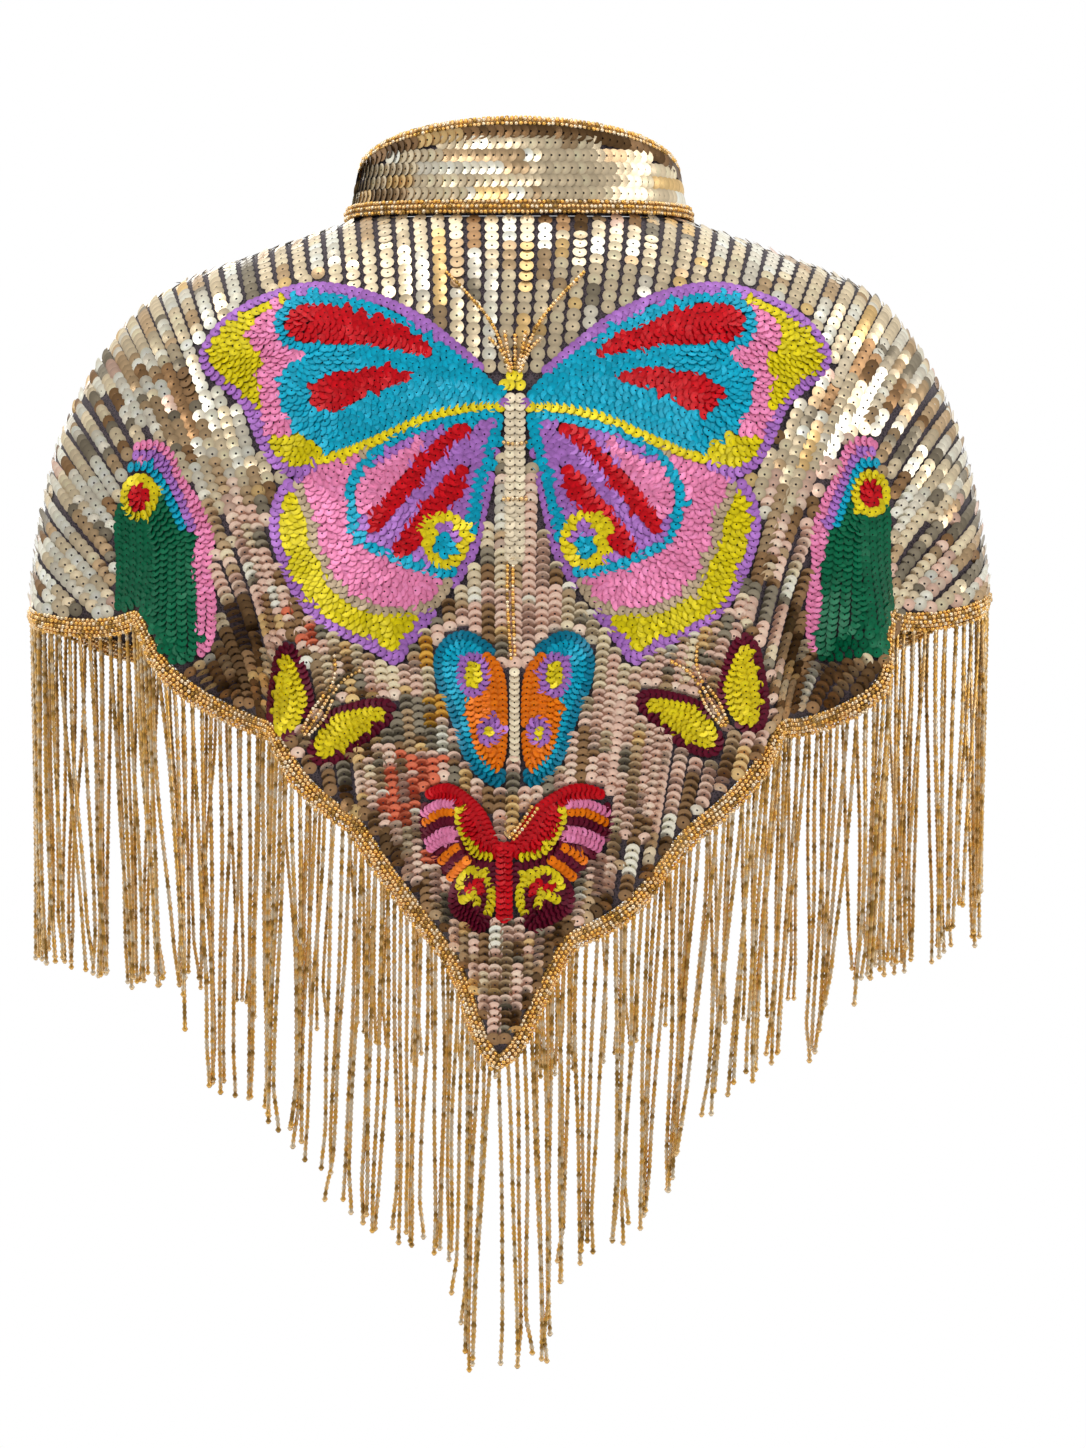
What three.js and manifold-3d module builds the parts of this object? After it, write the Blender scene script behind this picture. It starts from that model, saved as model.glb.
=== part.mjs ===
// A short shoulder cape with a stand collar, a scalloped hem that falls to a point at the centre back,
// piping on the collar and hem, and a long bead fringe all round.
// Millimetres, +Z up. The wearer would face -Y. The origin is the centre of the collar seam's ring.

import * as THREE from 'three';
import { mergeVertices } from 'three/addons/utils/BufferGeometryUtils.js';
import Module from 'manifold-3d';

const wasm = await Module();
wasm.setup();

// Cloth and gaps
const CLOTH = 2.0;
const SEAM_GAP = 0.3;
const FRONT_GAP = 3.0;
const SIDE_SEAM_ANGLE = 96;

// Collar
const COLLAR_TOP_HALF_WIDTH = 93;
const COLLAR_TOP_BACK = 67;
const COLLAR_TOP_FRONT = 71;
const COLLAR_HEIGHT_BACK = 51;
const COLLAR_HEIGHT_FRONT = 15;
const COLLAR_SLOPE_POWER = 1.6;

// Piping, as height along the cloth and thickness across it
const COLLAR_TOP_PIPING = { height: 5, thickness: 4 };
const COLLAR_BASE_PIPING = { height: 8, thickness: 4 };
const HEM_PIPING = { height: 8, thickness: 4.4 };

// Fringe
const STRIP = { height: 2.6, thickness: 3 };
const STRAND_LENGTH = 196;
const STRAND_RADIUS = 1.25;
const STRAND_SIDES = 3;
const BACK_STRAND_PITCH = 6.35;
const FRONT_STRAND_PITCH = 7.6;
const STRAND_SIDE_GAP = 3.3;
const STRAND_END_GAP = 2.5;
const STRAND_LENGTH_CHANGE = 4;
const STRAND_LENGTH_BEAT = 2.4;
const WALK_STEP = 0.1;
const MERGE_DISTANCE = 1e-4;

// Hook and eye
const FASTENING_RISE = 0.5;
const WIRE_RADIUS = 0.7;
const EYE_RADIUS = 4;
const EYE_OFFSET = 2.2;
const EYE_LIFT = 1.35;
const HOOK_STEPS = 12;
const HOOK_ARC_STEPS = 3;
const EYE_SIDES = 6;
const EYE_STEPS = 14;
const HOOK_ROUTE = [
  { across: -8.5, inward: 1.3 },
  { across: -5, inward: 1.5 },
  { across: -3, inward: 2.9 },
  { across: -1.2, inward: 3.2 },
  { across: 0.2, inward: 2.3 },
  { across: 0.25, inward: 1.0 },
  { across: 0.2, inward: 0.2 },
];

// Mesh fineness
const BACK_COLUMNS = 76;
const BACK_ROWS = 14;
const FRONT_COLUMNS = 22;
const FRONT_ROWS = 9;
const COLLAR_COLUMNS = 40;
const COLLAR_ROWS = 3;
const PIPING_SIDES = 6;
const CENTRE_DENSITY = 0.7;
const TIP_COLUMN = BACK_COLUMNS / 2;
const TIP_GAP_ANGLE = 0.04;

const COLOURS = { net: 0xb99a68, fringe: 0xc8a05f, piping: 0xd2ac70, metal: 0x8a8578 };

// Rings of the cape from the neckline down: half as wide as the ring is, how far its middle hangs to the
// wearer's left, its reach and height at the side, back and front, and how full its corners are.
const RINGS = [
  { wide: 98, mid_x: 0, side_z: 5, back_y: 70, back_z: 0, front_y: 76, front_z: -32, full: 2.0 },
  { wide: 152, mid_x: 0, side_z: -14, back_y: 92, back_z: -30, front_y: 97, front_z: -70, full: 2.1 },
  { wide: 209, mid_x: 2, side_z: -39, back_y: 109, back_z: -75, front_y: 113, front_z: -115, full: 2.2 },
  { wide: 246, mid_x: 4, side_z: -86, back_y: 119, back_z: -130, front_y: 122, front_z: -160, full: 2.3 },
  { wide: 267, mid_x: 5, side_z: -140, back_y: 124, back_z: -182, front_y: 127, front_z: -206, full: 2.4 },
  { wide: 279, mid_x: 5, side_z: -215, back_y: 127, back_z: -245, front_y: 128, front_z: -262, full: 2.45 },
  { wide: 283, mid_x: 6, side_z: -300, back_y: 127, back_z: -330, front_y: 127, front_z: -330, full: 2.45 },
  { wide: 284, mid_x: 9, side_z: -400, back_y: 124, back_z: -415, front_y: 123, front_z: -410, full: 2.45 },
  { wide: 284, mid_x: 11, side_z: -500, back_y: 119, back_z: -510, front_y: 118, front_z: -500, full: 2.45 },
];

// Hem scallops, placed from the ring's middle. Each runs from its start to the next row's start, and
// hangs by its belly below that line.
const HEM_HALF_WIDTH = 281;
const HEM_SETTLED_X = 170;
const HEM_EASE_ANGLE = 1.1;
const BACK_SCALLOPS = [
  { start_x: -281, start_z: -209, belly: 8 },
  { start_x: -213, start_z: -222, belly: 0 },
  { start_x: -203, start_z: -262, belly: 9 },
  { start_x: -150, start_z: -284, belly: 6 },
  { start_x: -97, start_z: -346, belly: 11 },
  { start_x: -33, start_z: -404, belly: 0 },
  { start_x: 0, start_z: -475, belly: 0 },
  { start_x: 21, start_z: -418, belly: 3 },
  { start_x: 79, start_z: -339, belly: 9 },
  { start_x: 127, start_z: -287, belly: 15 },
  { start_x: 209, start_z: -223, belly: 7 },
  { start_x: 281, start_z: -219, belly: 0 },
];
const FRONT_SCALLOPS = [
  { start_x: 281, start_z: -214, belly: 9 },
  { start_x: 196, start_z: -238, belly: 10 },
  { start_x: 98, start_z: -270, belly: 10 },
  { start_x: 0, start_z: -300, belly: 0 },
];

// Folds, out where depth is positive. Angles are from the centre back, positive to the wearer's left.
const FOLDS = [
  { angle: 0, top_z: -150, bottom_z: -475, depth: 13, width: 4.5 },
  { angle: 9, top_z: -240, bottom_z: -400, depth: -8, width: 4.5 },
  { angle: -10, top_z: -240, bottom_z: -400, depth: -8, width: 4.5 },
  { angle: 14.5, top_z: -260, bottom_z: -385, depth: 7, width: 3.5 },
  { angle: -13.5, top_z: -260, bottom_z: -380, depth: 7, width: 3.5 },
  { angle: 19, top_z: -230, bottom_z: -345, depth: -6, width: 3 },
  { angle: -18.5, top_z: -230, bottom_z: -350, depth: -6, width: 3 },
  { angle: 23.5, top_z: -190, bottom_z: -310, depth: 10, width: 4.5 },
  { angle: -27.5, top_z: -190, bottom_z: -290, depth: 10, width: 4.5 },
  { angle: 30.5, top_z: -160, bottom_z: -280, depth: -17, width: 4.5 },
  { angle: -35, top_z: -160, bottom_z: -275, depth: -17, width: 4.5 },
  { angle: 38.5, top_z: -160, bottom_z: -270, depth: 11, width: 4.5 },
  { angle: -42, top_z: -160, bottom_z: -265, depth: 12, width: 4 },
  { angle: 50, top_z: -130, bottom_z: -225, depth: -7, width: 5 },
  { angle: -50, top_z: -130, bottom_z: -225, depth: -7, width: 5 },
  { angle: 64, top_z: -110, bottom_z: -225, depth: 6, width: 8 },
  { angle: -64, top_z: -110, bottom_z: -225, depth: 6, width: 8 },
  { angle: 118, top_z: -120, bottom_z: -240, depth: -7, width: 8 },
  { angle: -118, top_z: -120, bottom_z: -240, depth: -7, width: 8 },
  { angle: 134, top_z: -130, bottom_z: -260, depth: 7, width: 7 },
  { angle: -134, top_z: -130, bottom_z: -260, depth: 7, width: 7 },
  { angle: 152, top_z: -140, bottom_z: -280, depth: -7, width: 7 },
  { angle: -152, top_z: -140, bottom_z: -280, depth: -7, width: 7 },
  { angle: 167, top_z: -150, bottom_z: -290, depth: 6, width: 6 },
  { angle: -167, top_z: -150, bottom_z: -290, depth: 6, width: 6 },
];

// Back strands by where their root hangs: how low the foot reaches, and how far it swings sideways.
const BACK_STRANDS = [
  { root_x: -284, foot_z: -378, sideways: 3 },
  { root_x: -262, foot_z: -390, sideways: 5 },
  { root_x: -240, foot_z: -416, sideways: 6 },
  { root_x: -200, foot_z: -430, sideways: 9 },
  { root_x: -186, foot_z: -453, sideways: 11 },
  { root_x: -177, foot_z: -474, sideways: 12 },
  { root_x: -154, foot_z: -474, sideways: 12 },
  { root_x: -133, foot_z: -485, sideways: 13 },
  { root_x: -112, foot_z: -508, sideways: 13 },
  { root_x: -91, foot_z: -548, sideways: 11 },
  { root_x: -63, foot_z: -573, sideways: 7 },
  { root_x: -38, foot_z: -580, sideways: 3 },
  { root_x: -23, foot_z: -596, sideways: 0 },
  { root_x: -12, foot_z: -638, sideways: -3 },
  { root_x: 6, foot_z: -638, sideways: -4 },
  { root_x: 12, foot_z: -641, sideways: 5 },
  { root_x: 24, foot_z: -640, sideways: 6 },
  { root_x: 33, foot_z: -582, sideways: 3 },
  { root_x: 63, foot_z: -573, sideways: 2 },
  { root_x: 86, foot_z: -558, sideways: 8 },
  { root_x: 98, foot_z: -537, sideways: 8 },
  { root_x: 120, foot_z: -513, sideways: 5 },
  { root_x: 158, foot_z: -493, sideways: 1 },
  { root_x: 180, foot_z: -488, sideways: -3 },
  { root_x: 192, foot_z: -428, sideways: -9 },
  { root_x: 226, foot_z: -435, sideways: -11 },
  { root_x: 262, foot_z: -424, sideways: -9 },
  { root_x: 284, foot_z: -421, sideways: -3 },
];

// Steps for slopes, in degrees and in rings, and how often a height's search is halved
const ANGLE_STEP = 0.2;
const LEVEL_STEP = 0.02;
const HEM_ANGLE_STEP = 0.8;
const HALVINGS = 30;

const DOWN = new THREE.Vector3(0, 0, -1);
const UP = new THREE.Vector3(0, 0, 1);
const { clamp, lerp, smoothstep, degToRad, radToDeg } = THREE.MathUtils;

function catmullRom(a, b, c, d, t) {
  const bend = 2 * a - 5 * b + 4 * c - d;
  const twist = 3 * b - a - 3 * c + d;
  return 0.5 * (2 * b + (c - a) * t + bend * t * t + twist * t * t * t);
}

// A ring column's value at any level between the table's rows, on one smooth curve.
function ringValue(column, level) {
  const last = RINGS.length - 1;
  const row = Math.min(Math.floor(level), last - 1);
  const value = (i) => RINGS[clamp(i, 0, last)][column];
  return catmullRom(value(row - 1), value(row), value(row + 1), value(row + 2), level - row);
}

// A unit ring, round where full is 2 and fuller at its corners above that.
function unitRing(angle, full) {
  const across = Math.sin(degToRad(angle));
  const along = Math.cos(degToRad(angle));
  const size = (Math.abs(across) ** full + Math.abs(along) ** full) ** (1 / full);
  return { across: across / size, along: along / size };
}

function ringPoint(angle, level) {
  const { across, along } = unitRing(angle, ringValue('full', level));
  const toBack = along > 0;
  const reach = ringValue(toBack ? 'back_y' : 'front_y', level);
  const sideZ = ringValue('side_z', level);
  const endZ = ringValue(toBack ? 'back_z' : 'front_z', level);
  const turn = Math.cos(degToRad(angle)) ** 2;
  const x = ringValue('mid_x', level) + ringValue('wide', level) * across;
  return new THREE.Vector3(x, reach * along, lerp(sideZ, endZ, turn));
}

function normalOf(surface, angle, level) {
  const across = surface(angle + ANGLE_STEP, level).sub(surface(angle - ANGLE_STEP, level));
  const down = surface(angle, level + LEVEL_STEP).sub(surface(angle, Math.max(level - LEVEL_STEP, 0)));
  return across.cross(down).normalize();
}

function foldDepth(angle, z) {
  let out = 0;
  for (const fold of FOLDS) {
    const fall = clamp((fold.top_z - z) / (fold.top_z - fold.bottom_z), 0, 1);
    const away = (angle - fold.angle) / fold.width;
    out += fold.depth * smoothstep(fall, 0, 1) * Math.exp(-away * away);
  }
  return out;
}

// The cloth's outer face, with its folds.
function skin(angle, level) {
  const point = ringPoint(angle, level);
  const depth = foldDepth(angle, point.z);
  return point.addScaledVector(normalOf(ringPoint, angle, level), depth);
}

function scallopHeight(table, x) {
  const rising = table[0].start_x < table[1].start_x;
  let row = 0;
  while (row < table.length - 2 && (rising ? x > table[row + 1].start_x : x < table[row + 1].start_x)) {
    row += 1;
  }
  const from = table[row];
  const to = table[row + 1];
  const t = clamp((x - from.start_x) / (to.start_x - from.start_x), 0, 1);
  return lerp(from.start_z, to.start_z, t) - from.belly * Math.sin(Math.PI * t);
}

function hemHeight(angle) {
  const { across, along } = unitRing(angle, RINGS[RINGS.length - 1].full);
  const x = HEM_HALF_WIDTH * across;
  if (along >= 0) {
    return scallopHeight(BACK_SCALLOPS, x);
  }
  const side = scallopHeight(BACK_SCALLOPS, Math.sign(x) * HEM_HALF_WIDTH);
  const settle = smoothstep(Math.abs(x), HEM_SETTLED_X, HEM_HALF_WIDTH);
  const change = (side - FRONT_SCALLOPS[0].start_z) * settle;
  return scallopHeight(FRONT_SCALLOPS, Math.abs(x)) + change;
}

// The scallops with their corners eased, as cloth and piping ease them.
function easedHemHeight(angle) {
  const near = hemHeight(angle - HEM_EASE_ANGLE) + hemHeight(angle + HEM_EASE_ANGLE);
  return (near + 2 * hemHeight(angle)) / 4;
}

function hemLevel(angle) {
  const target = easedHemHeight(angle);
  let low = 1;
  let high = RINGS.length - 1;
  for (let i = 0; i < HALVINGS; i += 1) {
    const middle = (low + high) / 2;
    if (ringPoint(angle, middle).z > target) {
      low = middle;
    } else {
      high = middle;
    }
  }
  return low;
}

// A closed geometry from a grid of outer points and the same grid of inner points.
function closedWall(outer, inner) {
  const rows = outer.length;
  const columns = outer[0].length;
  const positions = [];
  for (const grid of [outer, inner]) {
    for (const row of grid) {
      for (const p of row) {
        positions.push(p.x, p.y, p.z);
      }
    }
  }
  const at = (layer, i, j) => layer * rows * columns + i * columns + j;
  const index = [];
  const quad = (a, b, c, d) => index.push(a, b, c, a, c, d);
  for (let i = 0; i < rows - 1; i += 1) {
    for (let j = 0; j < columns - 1; j += 1) {
      quad(at(0, i, j), at(0, i + 1, j), at(0, i + 1, j + 1), at(0, i, j + 1));
      quad(at(1, i, j), at(1, i, j + 1), at(1, i + 1, j + 1), at(1, i + 1, j));
    }
  }
  const lastRow = rows - 1;
  const lastColumn = columns - 1;
  for (let j = 0; j < lastColumn; j += 1) {
    quad(at(0, 0, j), at(0, 0, j + 1), at(1, 0, j + 1), at(1, 0, j));
    quad(at(0, lastRow, j), at(1, lastRow, j), at(1, lastRow, j + 1), at(0, lastRow, j + 1));
  }
  for (let i = 0; i < lastRow; i += 1) {
    quad(at(0, i, 0), at(1, i, 0), at(1, i + 1, 0), at(0, i + 1, 0));
    quad(at(0, i, lastColumn), at(0, i + 1, lastColumn), at(1, i + 1, lastColumn), at(1, i, lastColumn));
  }
  return outward(positions, index);
}

// A geometry from points and faces, turned so that its faces point out.
function outward(positions, index) {
  let volume = 0;
  const corner = (i) => new THREE.Vector3().fromArray(positions, index[i] * 3);
  for (let i = 0; i < index.length; i += 3) {
    volume += corner(i).dot(corner(i + 1).cross(corner(i + 2)));
  }
  if (volume < 0) {
    index.reverse();
  }
  const geometry = new THREE.BufferGeometry();
  geometry.setAttribute('position', new THREE.Float32BufferAttribute(positions, 3));
  geometry.setIndex(index);
  return geometry;
}

// The angle at which a panel's column stands, which keeps seam and front gaps even at every level.
function sideSeam(level, sign) {
  const halfGap = radToDeg(SEAM_GAP / 2 / ringValue('front_y', level));
  return SIDE_SEAM_ANGLE + sign * halfGap;
}

function centreFront(level) {
  return 180 - radToDeg(Math.asin(FRONT_GAP / 2 / ringValue('wide', level)));
}

function backAngle(u, level) {
  const across = 2 * u - 1;
  return sideSeam(level, -1) * (CENTRE_DENSITY * across + (1 - CENTRE_DENSITY) * across ** 3);
}

function frontAngle(side) {
  return (u, level) => side * lerp(sideSeam(level, 1), centreFront(level), u);
}

// One cloth panel, from the neckline to the hem.
function panel(angleAt, columns, rows) {
  const outer = [];
  const inner = [];
  for (let i = 0; i <= rows; i += 1) {
    outer.push([]);
    inner.push([]);
    for (let j = 0; j <= columns; j += 1) {
      const u = j / columns;
      const level = hemLevel(angleAt(u, RINGS.length - 1)) * (i / rows);
      const angle = angleAt(u, level);
      const point = skin(angle, level);
      const normal = normalOf(skin, angle, level);
      outer[i].push(point);
      inner[i].push(point.clone().addScaledVector(normal, -CLOTH));
    }
  }
  return closedWall(outer, inner);
}

function collarHeight(angle) {
  const back = ((1 + Math.cos(degToRad(angle))) / 2) ** COLLAR_SLOPE_POWER;
  return lerp(COLLAR_HEIGHT_FRONT, COLLAR_HEIGHT_BACK, back);
}

function collarSkin(angle, rise) {
  const base = ringPoint(angle, 0);
  const { across, along } = unitRing(angle, RINGS[0].full);
  const reach = along > 0 ? COLLAR_TOP_BACK : COLLAR_TOP_FRONT;
  const x = lerp(base.x, COLLAR_TOP_HALF_WIDTH * across, rise);
  const y = lerp(base.y, reach * along, rise);
  return new THREE.Vector3(x, y, base.z + SEAM_GAP + collarHeight(angle) * rise);
}

function collarNormal(angle, rise) {
  const across = collarSkin(angle + ANGLE_STEP, rise).sub(collarSkin(angle - ANGLE_STEP, rise));
  const up = collarSkin(angle, 1).sub(collarSkin(angle, 0));
  return up.cross(across).normalize();
}

function collarAngle(u) {
  return centreFront(0) * (2 * u - 1);
}

function collar() {
  const outer = [];
  const inner = [];
  for (let i = 0; i <= COLLAR_ROWS; i += 1) {
    outer.push([]);
    inner.push([]);
    for (let j = 0; j <= COLLAR_COLUMNS; j += 1) {
      const angle = collarAngle(j / COLLAR_COLUMNS);
      const point = collarSkin(angle, i / COLLAR_ROWS);
      const normal = collarNormal(angle, i / COLLAR_ROWS);
      outer[i].push(point);
      inner[i].push(point.clone().addScaledVector(normal, -CLOTH));
    }
  }
  return closedWall(outer, inner);
}

// A closed bar through stations, each with a centre and two half axes. Its section has the given sides.
function bar(stations, sides) {
  const positions = [];
  const index = [];
  for (const { centre, tall, thick } of stations) {
    for (let k = 0; k < sides; k += 1) {
      const turn = ((k + 0.5) / sides) * Math.PI * 2;
      const p = centre.clone().addScaledVector(tall, Math.cos(turn)).addScaledVector(thick, Math.sin(turn));
      positions.push(p.x, p.y, p.z);
    }
  }
  for (let s = 0; s < stations.length - 1; s += 1) {
    for (let k = 0; k < sides; k += 1) {
      const a = s * sides + k;
      const b = s * sides + ((k + 1) % sides);
      index.push(a, b, b + sides, a, b + sides, a + sides);
    }
  }
  const end = (stations.length - 1) * sides;
  for (let k = 1; k < sides - 1; k += 1) {
    index.push(0, k + 1, k, end, end + k, end + k + 1);
  }
  return outward(positions, index);
}

function station(centre, tall, halfTall, thick, halfThick) {
  return {
    centre,
    tall: tall.clone().multiplyScalar(halfTall),
    thick: thick.clone().multiplyScalar(halfThick),
  };
}

function collarPiping(rise, size, lift) {
  const stations = [];
  for (let j = 0; j <= COLLAR_COLUMNS; j += 1) {
    const angle = collarAngle(j / COLLAR_COLUMNS);
    const normal = collarNormal(angle, rise);
    const up = collarSkin(angle, 1).sub(collarSkin(angle, 0)).normalize();
    const centre = collarSkin(angle, rise).addScaledVector(normal, lift.out).addScaledVector(up, lift.up);
    stations.push(station(centre, up, size.height / 2, normal, size.thickness / 2));
  }
  return bar(stations, PIPING_SIDES);
}

// The hem's edge at an angle: its middle point, and the ways along it, out of the cloth and off its edge.
function hemEdge(angle) {
  const point = (a) => skin(a, hemLevel(a));
  const along = point(angle + HEM_ANGLE_STEP).sub(point(angle - HEM_ANGLE_STEP)).normalize();
  const out = normalOf(skin, angle, hemLevel(angle));
  const off = out.clone().cross(along).normalize();
  if (off.dot(DOWN) < 0) {
    off.negate();
  }
  return { middle: point(angle).addScaledVector(out, -CLOTH / 2), out, off };
}

function hemBar(angles, size, from, sides) {
  const stations = angles.map((angle) => {
    const { middle, out, off } = hemEdge(angle);
    const centre = middle.addScaledVector(off, from + size.height / 2);
    return station(centre, off, size.height / 2, out, size.thickness / 2);
  });
  return bar(stations, sides);
}

function columnAngles(angleAt, columns) {
  return Array.from({ length: columns + 1 }, (_, j) => angleAt(j / columns, RINGS.length - 1));
}

function hemPiping(angles) {
  return hemBar(angles, HEM_PIPING, SEAM_GAP, PIPING_SIDES);
}

const STRIP_FROM = SEAM_GAP + HEM_PIPING.height + SEAM_GAP;

// A four-sided strip. Its section's corners stand at the half axes times the square root of two.
function fringeStrip(angles) {
  const size = { height: STRIP.height * Math.SQRT2, thickness: STRIP.thickness * Math.SQRT2 };
  return hemBar(angles, size, STRIP_FROM + (STRIP.height - size.height) / 2, 4);
}

// Where a strand's foot hangs, from its root: by the table at the back, straight down at the front.
function strandFoot(point, angle) {
  if (Math.abs(angle) > SIDE_SEAM_ANGLE) {
    return point.clone().addScaledVector(DOWN, STRAND_LENGTH);
  }
  const x = clamp(point.x, BACK_STRANDS[0].root_x, BACK_STRANDS[BACK_STRANDS.length - 1].root_x);
  let row = 0;
  while (row < BACK_STRANDS.length - 2 && x > BACK_STRANDS[row + 1].root_x) {
    row += 1;
  }
  const from = BACK_STRANDS[row];
  const to = BACK_STRANDS[row + 1];
  const t = (x - from.root_x) / (to.root_x - from.root_x);
  const sideways = lerp(from.sideways, to.sideways, t);
  return new THREE.Vector3(point.x + sideways, point.y, lerp(from.foot_z, to.foot_z, t));
}

// Roots of the strands along a strip, a pitch apart, never crowded side by side and clear of its ends.
function strandRoots(angles, pitch) {
  const stops = angles.map((angle) => {
    const { middle, out, off } = hemEdge(angle);
    return { angle, out, point: middle.addScaledVector(off, STRIP_FROM + STRIP.height / 2) };
  });
  const roots = [];
  let last = null;
  let travelled = pitch / 2;
  for (let i = 0; i < stops.length - 1; i += 1) {
    const [from, to] = [stops[i], stops[i + 1]];
    const length = from.point.distanceTo(to.point);
    const steps = Math.ceil(length / WALK_STEP);
    for (let k = 0; k < steps; k += 1) {
      const point = from.point.clone().lerp(to.point, k / steps);
      const aside = last ? Math.hypot(point.x - last.x, point.y - last.y) : STRAND_SIDE_GAP;
      const toEnd = point.distanceTo(stops[stops.length - 1].point);
      travelled += length / steps;
      if (travelled >= pitch && aside >= STRAND_SIDE_GAP && toEnd > STRAND_END_GAP) {
        const out = from.out.clone().lerp(to.out, k / steps);
        roots.push({ angle: lerp(from.angle, to.angle, k / steps), point, out });
        last = point;
        travelled = 0;
      }
    }
  }
  return roots;
}

function strand({ angle, point, out }, order) {
  const foot = strandFoot(point, angle);
  foot.z += STRAND_LENGTH_CHANGE * Math.sin(order * STRAND_LENGTH_BEAT);
  const flat = new THREE.Vector3(out.x, out.y, 0).normalize();
  const aside = flat.clone().cross(UP);
  const stations = [point, foot].map((p) => station(p, aside, STRAND_RADIUS, flat, STRAND_RADIUS));
  return bar(stations, STRAND_SIDES);
}

function toSolid(geometry) {
  const bare = new THREE.BufferGeometry();
  bare.setAttribute('position', geometry.getAttribute('position').clone());
  bare.setIndex(geometry.getIndex());
  const merged = mergeVertices(bare, MERGE_DISTANCE);
  const mesh = new wasm.Mesh({
    numProp: 3,
    vertProperties: new Float32Array(merged.getAttribute('position').array),
    triVerts: new Uint32Array(merged.getIndex().array),
  });
  return new wasm.Manifold(mesh);
}

function fromSolid(solid) {
  const mesh = solid.getMesh();
  const geometry = new THREE.BufferGeometry();
  geometry.setAttribute('position', new THREE.Float32BufferAttribute(mesh.vertProperties, 3));
  geometry.setIndex([...mesh.triVerts]);
  return geometry;
}

function fringe(angles, pitch) {
  let solid = toSolid(fringeStrip(angles));
  strandRoots(angles, pitch).forEach((root, order) => {
    solid = solid.add(toSolid(strand(root, order)));
  });
  return fromSolid(solid);
}

// A round wire along a smooth route through the points.
function wire(points, steps) {
  const section = new THREE.Shape().absarc(0, 0, WIRE_RADIUS, 0, Math.PI * 2);
  const extrudePath = new THREE.CatmullRomCurve3(points, false, 'centripetal');
  return new THREE.ExtrudeGeometry(section, { steps, curveSegments: HOOK_ARC_STEPS, extrudePath });
}

const MATERIALS = {
  net: new THREE.MeshStandardMaterial({ color: COLOURS.net, roughness: 0.4, metalness: 0.5 }),
  piping: new THREE.MeshStandardMaterial({ color: COLOURS.piping, roughness: 0.25, metalness: 0.8 }),
  fringe: new THREE.MeshStandardMaterial({ color: COLOURS.fringe, roughness: 0.25, metalness: 0.8 }),
  metal: new THREE.MeshStandardMaterial({ color: COLOURS.metal, roughness: 0.35, metalness: 1 }),
};

const cape = new THREE.Group();

function addPiece(name, geometry, material, parent = cape) {
  const mesh = new THREE.Mesh(geometry, material);
  mesh.name = name;
  parent.add(mesh);
}

function addCloth() {
  addPiece('back', panel(backAngle, BACK_COLUMNS, BACK_ROWS), MATERIALS.net);
  addPiece('front_left', panel(frontAngle(1), FRONT_COLUMNS, FRONT_ROWS), MATERIALS.net);
  addPiece('front_right', panel(frontAngle(-1), FRONT_COLUMNS, FRONT_ROWS), MATERIALS.net);
  addPiece('collar', collar(), MATERIALS.net);
}

function addPiping() {
  const top = { up: SEAM_GAP + COLLAR_TOP_PIPING.height / 2, out: -CLOTH / 2 };
  const out = SEAM_GAP + COLLAR_BASE_PIPING.thickness / 2;
  const base = { up: SEAM_GAP + COLLAR_BASE_PIPING.height / 2, out };
  addPiece('collar_top_trim', collarPiping(1, COLLAR_TOP_PIPING, top), MATERIALS.piping);
  addPiece('collar_base_trim', collarPiping(0, COLLAR_BASE_PIPING, base), MATERIALS.piping);
  addPiece('hem_trim_back', hemPiping(columnAngles(backAngle, BACK_COLUMNS)), MATERIALS.piping);
  addPiece('hem_trim_left', hemPiping(columnAngles(frontAngle(1), FRONT_COLUMNS)), MATERIALS.piping);
  addPiece('hem_trim_right', hemPiping(columnAngles(frontAngle(-1), FRONT_COLUMNS)), MATERIALS.piping);
}

function addFringe() {
  const angles = columnAngles(backAngle, BACK_COLUMNS);
  const left = angles.slice(TIP_COLUMN);
  const right = angles.slice(0, TIP_COLUMN + 1).reverse();
  left[0] += TIP_GAP_ANGLE;
  right[0] -= TIP_GAP_ANGLE;
  addPiece('fringe_back_left', fringe(left, BACK_STRAND_PITCH), MATERIALS.fringe);
  addPiece('fringe_back_right', fringe(right, BACK_STRAND_PITCH), MATERIALS.fringe);
  for (const [name, side] of [['fringe_front_left', 1], ['fringe_front_right', -1]]) {
    const front = columnAngles(frontAngle(side), FRONT_COLUMNS);
    addPiece(name, fringe(front, FRONT_STRAND_PITCH), MATERIALS.fringe);
  }
}

// The fastening lies on the collar's inner face. Its own frame has X across, Y inward and Z up the collar.
function addFastening() {
  const inward = collarNormal(180, FASTENING_RISE).negate();
  const up = collarSkin(180, 1).sub(collarSkin(180, 0)).normalize();
  const across = inward.clone().cross(up);
  const seat = new THREE.Group();
  seat.position.copy(collarSkin(180, FASTENING_RISE).addScaledVector(inward, CLOTH));
  seat.quaternion.setFromRotationMatrix(new THREE.Matrix4().makeBasis(across, inward, up));
  const ring = new THREE.TorusGeometry(EYE_RADIUS, WIRE_RADIUS, EYE_SIDES, EYE_STEPS);
  ring.rotateX(Math.PI / 2);
  ring.translate(EYE_OFFSET, EYE_LIFT, 0);
  const route = HOOK_ROUTE.map(({ across: x, inward: y }) => new THREE.Vector3(x, y, 0));
  addPiece('collar_eye', ring, MATERIALS.metal, seat);
  addPiece('collar_hook', wire(route, HOOK_STEPS), MATERIALS.metal, seat);
  cape.add(seat);
}

addCloth();
addPiping();
addFringe();
addFastening();

export default cape;
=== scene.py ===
"""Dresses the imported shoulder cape: net cloth, sewn sequins, bead piping and a long bead fringe.

Sizes here are in millimetres and turn into metres as each mesh is made. The cape's front faces -Y.
"""

import math

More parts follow.
